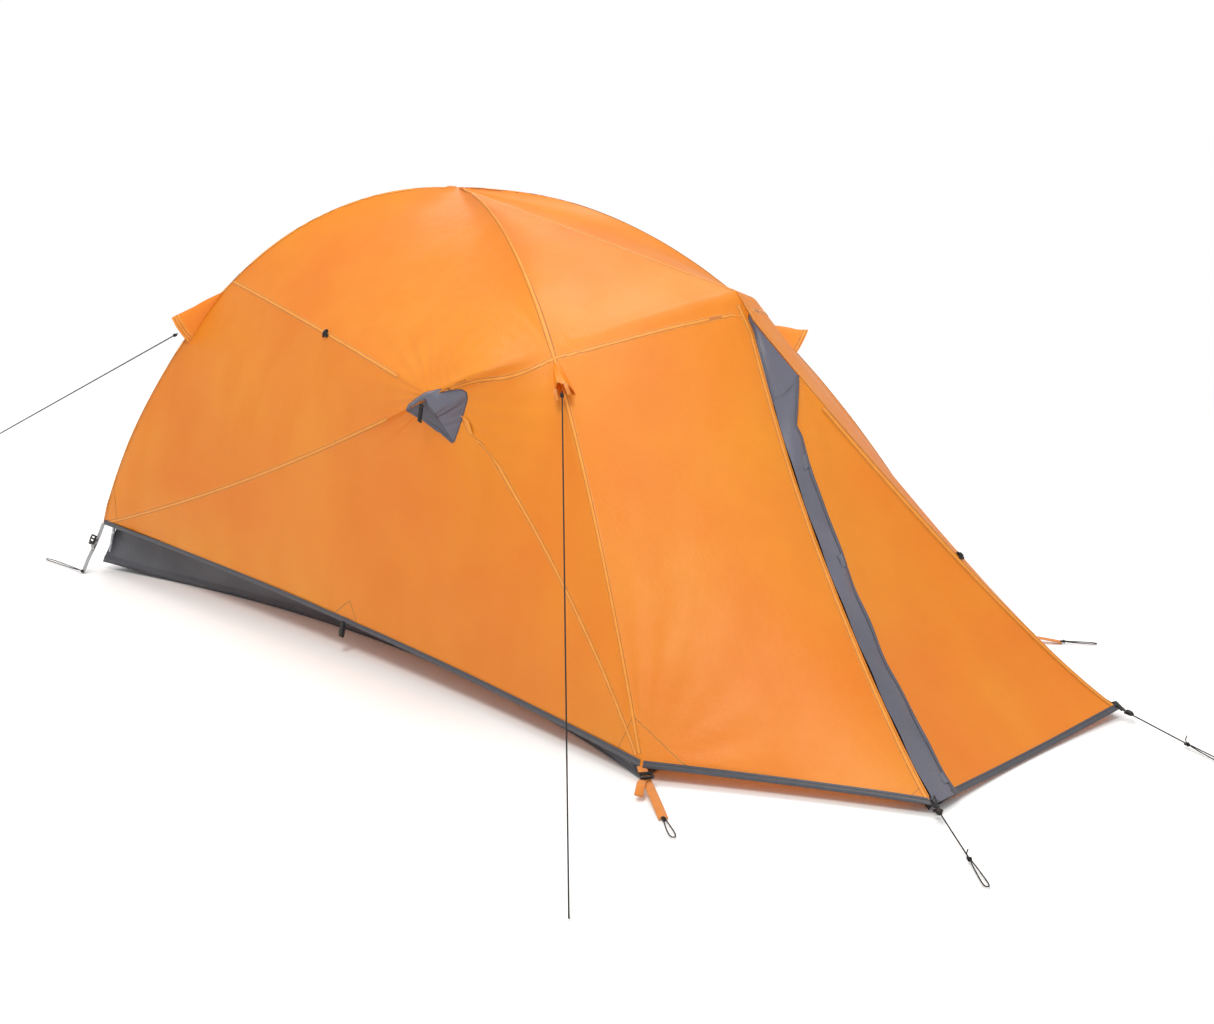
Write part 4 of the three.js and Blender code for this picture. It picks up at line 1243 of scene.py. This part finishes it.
def stake_loop(name, start, finish):
    """Thin cord doubled into a long loop for the stake, tied at its near end."""
    along = unit(finish - start)
    path = doubled(start, finish, ((0.35, 0.004), (0.85, 0.006)))
    parts = [cord(name + "_line", spline(path, 70), 0.0013, 8),
             knot(name + "_knot", start + 0.008 * along, along, 0.0036, 0.0014)]
    return dress(joined(name, parts), cord_look_black, "tent", "cord_black")


for hand, side in SIDES.items():
    for end in LEGS:
        stake, along = corner_strap(end, hand, side)
        ground_way = unit(along * point(1, 1, 0)) if end == "front" else point(-1, 0, 0)
        begin = stake + 0.003 * UP
        finish = begin + LOOP_LENGTHS[end] * ground_way
        finish[2] = 0.0025
        stake_loop(f"stake_loop_{end}_{hand}", begin - 0.004 * ground_way, finish)


# ------------------------------------------------------------ side loops
def side_loop(hand, side):
    node = f"side_loop_{hand}"
    low, high = lowest(node), highest(node)
    centre_x = (low[0] + high[0]) / 2
    top = point(centre_x, side * min(abs(low[1]), abs(high[1])), high[2])
    bottom = point(centre_x, side * max(abs(low[1]), abs(high[1])), low[2])
    drop = bottom - top
    out = point(0, side, 0)
    path = spline([top + 0.004 * UP - 0.001 * out, top + 0.5 * drop - 0.003 * out, bottom - 0.002 * out,
                   bottom + 0.004 * out + 0.002 * UP, top + 0.5 * drop + 0.005 * out,
                   top + 0.004 * UP + 0.002 * out], 50)
    dress(sweep(f"side_webbing_{hand}", path, band(0.013, 0.0015), point(1, 0, 0)), black_web_look,
          f"loop_{hand}", "webbing_black", node)


for hand, side in SIDES.items():
    side_loop(hand, side)


# ------------------------------------------------------------ vestibule stake cords and cord locks
def toe_cord(hand, side):
    """Cord from a vestibule corner to its stake, with its knots, sliding grip and sewn tab."""
    corner = slope_seam(side, 1)
    low, high = lowest(f"stake_cord_{hand}"), highest(f"stake_cord_{hand}")
    far_y = low[1] if abs(low[1] - corner[1]) > abs(high[1] - corner[1]) else high[1]
    finish = point(high[0] - 0.001, far_y, 0.003)
    along = unit(finish - corner)
    length = np.linalg.norm(finish - corner)
    side_way = unit(np.cross(along, UP))
    line = [corner + 0.004 * along, corner + 0.68 * length * along]
    loop = doubled(line[1], finish, ((0.4, 0.0035), (0.9, 0.005)))
    tail = [line[1], line[1] + 0.010 * UP + 0.006 * side_way, line[1] + 0.020 * UP + 0.004 * side_way]
    parts = [cord("line", np.linspace(*line, 30), 0.0015), cord("loop", spline(loop, 60), 0.0013),
             cord("tail", spline(tail, 12), 0.0012), knot("knot", line[1], along, 0.0036, 0.0014)]
    dress(joined(f"toe_cord_{hand}", parts), cord_look_black, f"cord_{hand}", "cord_black",
          f"stake_cord_{hand}")
    lock_at = middle(f"cord_lock_{hand}")
    shell = [(0.0045, -0.009), (0.0062, -0.007), (0.0068, 0.0), (0.0060, 0.0065), (0.0048, 0.0085)]
    profile = spline([(r, h, 0) for r, h in shell], 14)
    path = lock_at + np.outer(profile[:, 1], along)
    ring = circle(1.0, 18) * point(1.0, 0.82, 0)[:2]
    barrel = sweep("barrel", path, profile[:, :1, None] * ring[None], side_way)
    button = sweep("button", lock_at + np.outer([0.007, 0.0105, 0.0115], along),
                   np.array([0.0042, 0.0042, 0.0034])[:, None, None] * ring[None], side_way)
    ears = [knot("ear", lock_at - 0.004 * along + s * 0.0065 * side_way, side_way, 0.0022, 0.0013)
            for s in (-1, 1)]
    dress(joined(f"cord_grip_{hand}", [barrel, button, *ears]), black_look, f"cord_lock_{hand}",
          "black_plastic", f"cord_lock_{hand}")
    tab = spline([corner - 0.022 * along * point(1, 1, 0) + 0.010 * UP, corner + 0.002 * UP,
                  corner + 0.008 * along], 20)
    dress(sweep(f"toe_tab_{hand}", tab, band(0.014, 0.0022), np.cross(along, UP)), black_web_look,
          "tent", "webbing_black")


for hand, side in SIDES.items():
    toe_cord(hand, side)


# ------------------------------------------------------------ floor tub
TUB_HEIGHT, TUB_EDGE_INSET, TUB_RIM_INSET, TUB_COVER = 0.115, 0.010, 0.084, 0.008
FLOOR_HALF, FLOOR_HALF_FRONT, FLOOR_HALF_REAR = 1.065, 0.630, 0.535
TUB_PULLS = (0.150, 0.040, 0.150, 0.060)
TUB_SIDE_STEPS = 60


def tub_corners(share):
    """Tub corners at a height share, and where the corner webbing draws them to."""
    grow = lerp(-TUB_EDGE_INSET, -TUB_RIM_INSET, share)
    x = FLOOR_HALF + grow
    plain = [point(-x, -FLOOR_HALF_REAR - grow, 0), point(x, -FLOOR_HALF_FRONT - grow, 0),
             point(x, FLOOR_HALF_FRONT + grow, 0), point(-x, FLOOR_HALF_REAR + grow, 0)]
    rim = share * TUB_HEIGHT
    drawn = []
    for end, side in zip(("rear", "front", "front", "rear"), (-1, -1, 1, 1)):
        if end == "rear":
            foot = rear_leg(side, 1) + point(lerp(-0.003, 0.034, share), side * 0.007, 0)
            drawn.append(point(foot[0], foot[1] - side * 0.034 * share, lerp(0.022, foot[2] - 0.003, share)))
        else:
            top = front_leg(side, 0.955) - point(0.012, side * 0.010, 0)
            low = point(FLOOR_HALF - 0.001, side * (FLOOR_HALF_FRONT - 0.002), 0.003)
            drawn.append(lerp(low, point(top[0], top[1], rim), share))
    return plain, drawn


def under_fly(spot, share):
    """Draw the upper part of the tub wall in behind the fly cloth."""
    cloth, out = on_cloth(spot)
    covered = min(1.0, max(0.0, (share - 0.35) / 0.3))
    return spot - covered * max(0.0, (spot - cloth) @ out + TUB_COVER) * out


def tub_ring(share):
    """Outline of the tub at a height share, drawn in along its sides and out at its corners."""
    plain, drawn = tub_corners(share)
    ring = []
    for k in range(4):
        a, b = plain[k], plain[(k + 1) % 4]
        inwards = point(a[1] - b[1], b[0] - a[0], 0)
        pull = lerp(TUB_PULLS[k], 0.45 * TUB_PULLS[k], share)
        for t in np.arange(TUB_SIDE_STEPS) / TUB_SIDE_STEPS:
            spot = lerp(a, b, t) + unit(inwards) * pull * 4 * t * (1 - t)
            spot[2] = share * TUB_HEIGHT
            reach = np.linalg.norm(b - a)
            ring_wave = 0.004 * math.sin(29 * t * reach + 3 * k) + 0.002 * math.sin(71 * t * reach)
            spot = spot + unit(inwards) * ring_wave * math.sin(math.pi * share)
            for place, target, away in ((a, drawn[k], t), (b, drawn[(k + 1) % 4], 1 - t)):
                near = math.exp(-(away * reach / 0.13) ** 1.5)
                spot = spot + near * (target - place - point(0, 0, share * TUB_HEIGHT))
            ring.append(under_fly(spot, share))
    return np.array(ring)


floor_rings = [tub_ring(0) * point(k, k, 1) + point(0, 0, 0.0012 * (1 - k)) for k in (0.02, 0.35, 0.7, 0.93)]
tub_rings = np.array(floor_rings + [tub_ring(share) for share in np.linspace(0, 1, 9)])
tub_rings[..., 2] = np.maximum(tub_rings[..., 2], 0.0006)
wall_way = travelled(tub_rings[4])
level_way = travelled(tub_rings[:, 0])
tub_uv = np.stack(np.meshgrid(wall_way, level_way), -1).reshape(-1, 2)
tub = make_object("floor_tub_cloth", tub_rings.reshape(-1, 3),
                  grid_faces(*tub_rings.shape[:2], closed=True), tub_uv)
dress(tub, tub_look, "tent", "floor_fabric", "floor_tub")
wall_seam = np.stack([lerp(tub_rings[4], tub_rings[6], s) for s in (0.35, 0.55, 0.75)], axis=1)
seam_out = unit(wall_seam[:, 1] * point(1, 1, 0))[:, None]
dress(sheet("floor_tub_seam", wall_seam + 0.0012 * seam_out), hem_look, "tent", "floor_fabric")


# ------------------------------------------------------------ inner canopy
INNER_DEPTH, INNER_ENDS = 0.062, {"front": 0.945, "rear": 0.985}
DOORWAY_ROWS, DOORWAY_COLUMNS = (3 / 8, 7 / 8), (1 / 6, 5 / 6)
INNER_STEPS = 48


def sunk(spots, depth):
    spots = np.asarray(spots, float)
    aim = spots * point(0.55, 0, 0) + point(0, 0, 0.12)
    return spots + unit(aim - spots) * depth


def inner_leg(end, side, t):
    return sunk(LEGS[end](side, INNER_ENDS[end] * np.asarray(t, float)), INNER_DEPTH)


def inner_hem(a, b, t, pull):
    t = np.asarray(t, float)
    return between(a, b, t) + (4 * t * (1 - t))[..., None] * point(pull, 0, 0)


INNER_APEX = sunk(APEX, INNER_DEPTH)
inner_corner = {(end, side): inner_leg(end, side, 1) for end in LEGS for side in (-1, 1)}


def inner_wall(a, b, hem):
    """One inner wall between two legs, each given as (end, side), from the apex down to its hem."""
    return panel(lambda t: inner_leg(*a, t), lambda t: inner_leg(*b, t), lambda t: INNER_APEX,
                 lambda t: hem(inner_corner[a], inner_corner[b], t),
                 INNER_STEPS, INNER_STEPS)


walls = [inner_wall(("rear", side), ("front", side), lambda a, b, t: bowed(a, b, t, 0.060))
         for side in (-1, 1)]
walls.append(inner_wall(("rear", -1), ("rear", 1), lambda a, b, t: inner_hem(a, b, t, 0.030)))
front_wall = inner_wall(("front", -1), ("front", 1), lambda a, b, t: inner_hem(a, b, t, 0.0))
first_row, last_row = (int(INNER_STEPS * share) for share in DOORWAY_ROWS)
first_column, last_column = (int(INNER_STEPS * share) for share in DOORWAY_COLUMNS)
front_piece = sheet("inner_front", front_wall)
with editing(front_piece) as cutter:
    bmesh.ops.delete(cutter, context="FACES", geom=[
        face for n, face in enumerate(cutter.faces)
        if first_row <= n // INNER_STEPS < last_row and first_column <= n % INNER_STEPS < last_column])


def skirt(top):
    """Cloth between an inner wall and the tub's rim."""
    rim = tub_ring(1.0)
    nearest = np.array([rim[np.argmin(np.linalg.norm(rim - spot, axis=1))] for spot in top])
    for _ in range(6):
        nearest[1:-1] = (nearest[:-2] + 2 * nearest[1:-1] + nearest[2:]) / 4
    return np.array([lerp(top, nearest, share) for share in np.linspace(0, 1, 6)])


inner_parts = [sheet("inner", grid) for grid in walls] + [front_piece]
inner_parts += [sheet("skirt", skirt(grid[-1])) for grid in [*walls, front_wall]]
inner = weld(joined("inner_canopy", inner_parts), 0.0006, INSIDE)
dress(inner, inner_look, "tent", "inner_fabric", "inner_wall_right", "inner_wall_left",
      "inner_wall_rear", "inner_wall_front")
doorway = front_wall[first_row:last_row + 1, first_column:last_column + 1].copy()
hinge_at, hinge_end = doorway[0].mean(0), doorway[4].mean(0)
hinged(sheet("inner_door_cloth", doorway), inner_look, "inner_door", "inner_fabric",
       hinge_at, hinge_end, "inner_door")
doorway_out = unit(doorway - INSIDE)
zip_edges = [doorway[:, :3], doorway[:, -3:], np.swapaxes(doorway[-3:], 0, 1)]
zip_outs = [doorway_out[:, :3], doorway_out[:, -3:], np.swapaxes(doorway_out[-3:], 0, 1)]
strips = []
for grid, out in zip(zip_edges, zip_outs):
    edge, inner_side = (grid[:, 0], grid[:, 1]) if grid is zip_edges[0] else (grid[:, -1], grid[:, -2])
    way = unit(inner_side - edge)
    lift = 0.0014 * out[:, 0]
    strips.append(sheet("zip", np.stack([edge - 0.004 * way + lift, edge + 0.004 * way + lift,
                                         edge + 0.012 * way + lift], axis=1)))
hinged(joined("inner_door_zip", strips), zip_look, "inner_door", "inner_fabric", hinge_at, hinge_end)


# ------------------------------------------------------------ poles and clips under the fly
for name, node in NODES.items():
    if name.startswith(("pole_tip", "apex_clip", "brow_clip")):
        coat(node, black_look)
    elif name.startswith(("pole_", "brow_pole")):
        coat(node, pole_look)


# ------------------------------------------------------------ reinforcements, bar-tacks and toggles
PATCH_STITCHES, PATCH_SPACING, TACK_HALF = 0.0042, 0.006, 0.016


def stitched(name, spots):
    """A row of stitches over the cloth through the given points."""
    path = np.array([on_cloth(spot)[0] for spot in resampled(np.array(spots), PATCH_SPACING)])
    return laid(name, path, PATCH_STITCHES, stitch_look, "fly_fabric", 0.0004, columns=2,
                spacing=PATCH_SPACING)


def tack(name, path, t, width=0.006, look=tack_look, slot="fly_fabric"):
    """A dense patch of stitches over a seam."""
    spot = path(t)
    way = unit(path(t + 0.01) - path(t - 0.01))
    row = np.array([spot - TACK_HALF * way, spot, spot + TACK_HALF * way])
    return laid(name, row, width, look, slot, 0.0016, columns=2, spacing=PATCH_SPACING)


def toggle(name, spot, along, out):
    """Black toggle on a loop of tape that lies on the cloth."""
    along = unit(along - out * (along @ out))
    across = np.cross(along, out)
    spot = spot + 0.0045 * out
    barrel_at = np.linspace(-0.011, 0.011, 12)
    swell = 0.0042 + 0.0012 * np.cos(math.pi * barrel_at / 0.011)
    barrel = sweep("barrel", spot + np.outer(barrel_at, along), swell[:, None, None] * circle(1.0, 14)[None],
                   across)
    tape = sweep("tape", spline([spot - 0.004 * out - 0.013 * across, spot + 0.0055 * out,
                                 spot - 0.004 * out + 0.013 * across], 16), band(0.010, 0.0014), along)
    return dress(joined(name, [barrel, tape]), black_look, "tent", "black_plastic")


for hand, side in SIDES.items():
    stitched(f"patch_front_{hand}", [side_hem(side, 0.965) + 0.014 * UP, front_leg(side, 0.962),
                                     toe_hem(side, 0.15) + 0.014 * UP])
    stitched(f"patch_rear_{hand}", [rear_hem(0.5 + side * 0.44) + 0.014 * UP, rear_leg(side, 0.962),
                                    lower_seam(side, 0.050), side_hem(side, 0.035) + 0.014 * UP])
    stitched(f"patch_toe_{hand}", [slope_seam(side, 0.950) + point(0, 0.014 * side, 0),
                                   toe_hem(side, 0.915) + 0.016 * UP])
    stitched(f"patch_loop_{hand}", [side_hem(side, 0.488) + 0.014 * UP, point(0.033, side * 0.541, 0.140),
                                    side_hem(side, 0.530) + 0.014 * UP])
    tack(f"tack_brow_{hand}", lambda t: brow(side, t), 0.84)
    tack(f"tack_rear_{hand}", lambda t: rear_leg(side, t), 0.585, look=grey_seam_look, slot="grey_fabric")
    tack(f"tack_nose_{hand}", lambda t: brow_seam(side)[int(89 * t)], 0.10, width=0.008)
    for name, path, t in (("side", upper_seam, 0.523), ("ridge", slope_seam, 0.59)):
        if name == "ridge" and side < 0:
            continue
        spot, out = on_cloth(path(side, t) + (point(0, 0.012, 0) if name == "ridge" else 0.0))
        toggle(f"toggle_{name}_{hand}", spot, UP + 0.4 * unit(path(side, t + 0.01) - path(side, t)), out)


# ------------------------------------------------------------ stage, light and camera
FLOOR_HALF_SIZE, FLOOR_DROP = 30, 0.002
FLOOR_FADE_FROM, FLOOR_FADE_TO = 2.6, 4.6
SKY_LEVEL, SKY_SEEN = 0.80, 1.02
WHITE, WARM = (1, 1, 1), (1, 0.98, 0.93)
# name, place, what it points at, size, watts, tint
LIGHTS = (("key", (2.0, -3.0, 4.6), (0.2, 0, 0.5), 1.6, 125, WARM),
          ("top", (-0.4, 0.6, 4.8), (0, 0, 0.5), 2.4, 90, WHITE),
          ("rim", (-3.6, 2.4, 3.0), (0, 0, 0.6), 2.0, 40, WHITE))
CAMERA_PLACE, CAMERA_TILT, CAMERA_TURN = (3.352, -3.152, 1.418), 75.95, 43.84
LENS, SENSOR, SHIFT_X, SHIFT_Y = 53.64, 36, 0.0121, -0.0035


def shown(name, data):
    obj = bpy.data.objects.new(name, data)
    bpy.context.scene.collection.objects.link(obj)
    return obj


def make_stage():
    """A pale floor that fades into the white backdrop."""
    h = FLOOR_HALF_SIZE
    ground = bpy.data.meshes.new("ground")
    ground.from_pydata([(-h, -h, 0), (h, -h, 0), (h, h, 0), (-h, h, 0)], [], [(0, 1, 2, 3)])
    floor = shown("ground", ground)
    look = Look("pale_floor")
    mottle = look.mixed(look.noise(0.7, 3), (0.90, 0.90, 0.90, 1), (0.92, 0.92, 0.92, 1))
    look.finish(Base_Color=mottle, Roughness=0.9)
    away = look.node("VectorMath", {0: look.node("TexCoord").outputs["Object"]}, operation="LENGTH")
    glow = look.node("Emission", {"Color": (*WHITE, 1), "Strength": 1.0})
    share = look.ranged(away.outputs["Value"], FLOOR_FADE_FROM, FLOOR_FADE_TO)
    blend = look.node("MixShader", {0: share, 1: look.shader.outputs[0], 2: glow.outputs[0]})
    look.feed(look.output.inputs["Surface"], blend.outputs[0])
    floor.data.materials.append(look.material)
    floor.location.z = -FLOOR_DROP


def add_area(name, place, target, size, power, tint):
    light = bpy.data.lights.new(name, "AREA")
    light.shape, light.size, light.energy, light.color = "DISK", size, power, tint
    obj = shown(name, light)
    obj.location = place
    obj.rotation_euler = (Vector(target) - Vector(place)).to_track_quat("-Z", "Y").to_euler()


def make_light():
    """Even studio light; the backdrop is a little brighter where the camera sees it."""
    world = bpy.context.scene.world or bpy.data.worlds.new("studio")
    bpy.context.scene.world = world
    world.use_nodes = True
    tree = world.node_tree
    seen = tree.nodes.new("ShaderNodeLightPath").outputs["Is Camera Ray"]
    level = tree.nodes.new("ShaderNodeMapRange")
    level.inputs["To Min"].default_value, level.inputs["To Max"].default_value = SKY_LEVEL, SKY_SEEN
    tree.links.new(seen, level.inputs["Value"])
    backdrop = tree.nodes["Background"]
    backdrop.inputs[0].default_value = (*WHITE, 1)
    tree.links.new(level.outputs[0], backdrop.inputs[1])
    bpy.context.scene.view_settings.view_transform = "Standard"
    for light in LIGHTS:
        add_area(*light)


def make_camera():
    camera = bpy.data.cameras.new("camera")
    camera.lens, camera.sensor_width = LENS, SENSOR
    camera.shift_x, camera.shift_y = SHIFT_X, SHIFT_Y
    obj = shown("camera", camera)
    obj.location = CAMERA_PLACE
    obj.rotation_euler = (math.radians(CAMERA_TILT), 0, math.radians(CAMERA_TURN))
    bpy.context.scene.camera = obj


make_stage()
make_light()
make_camera()
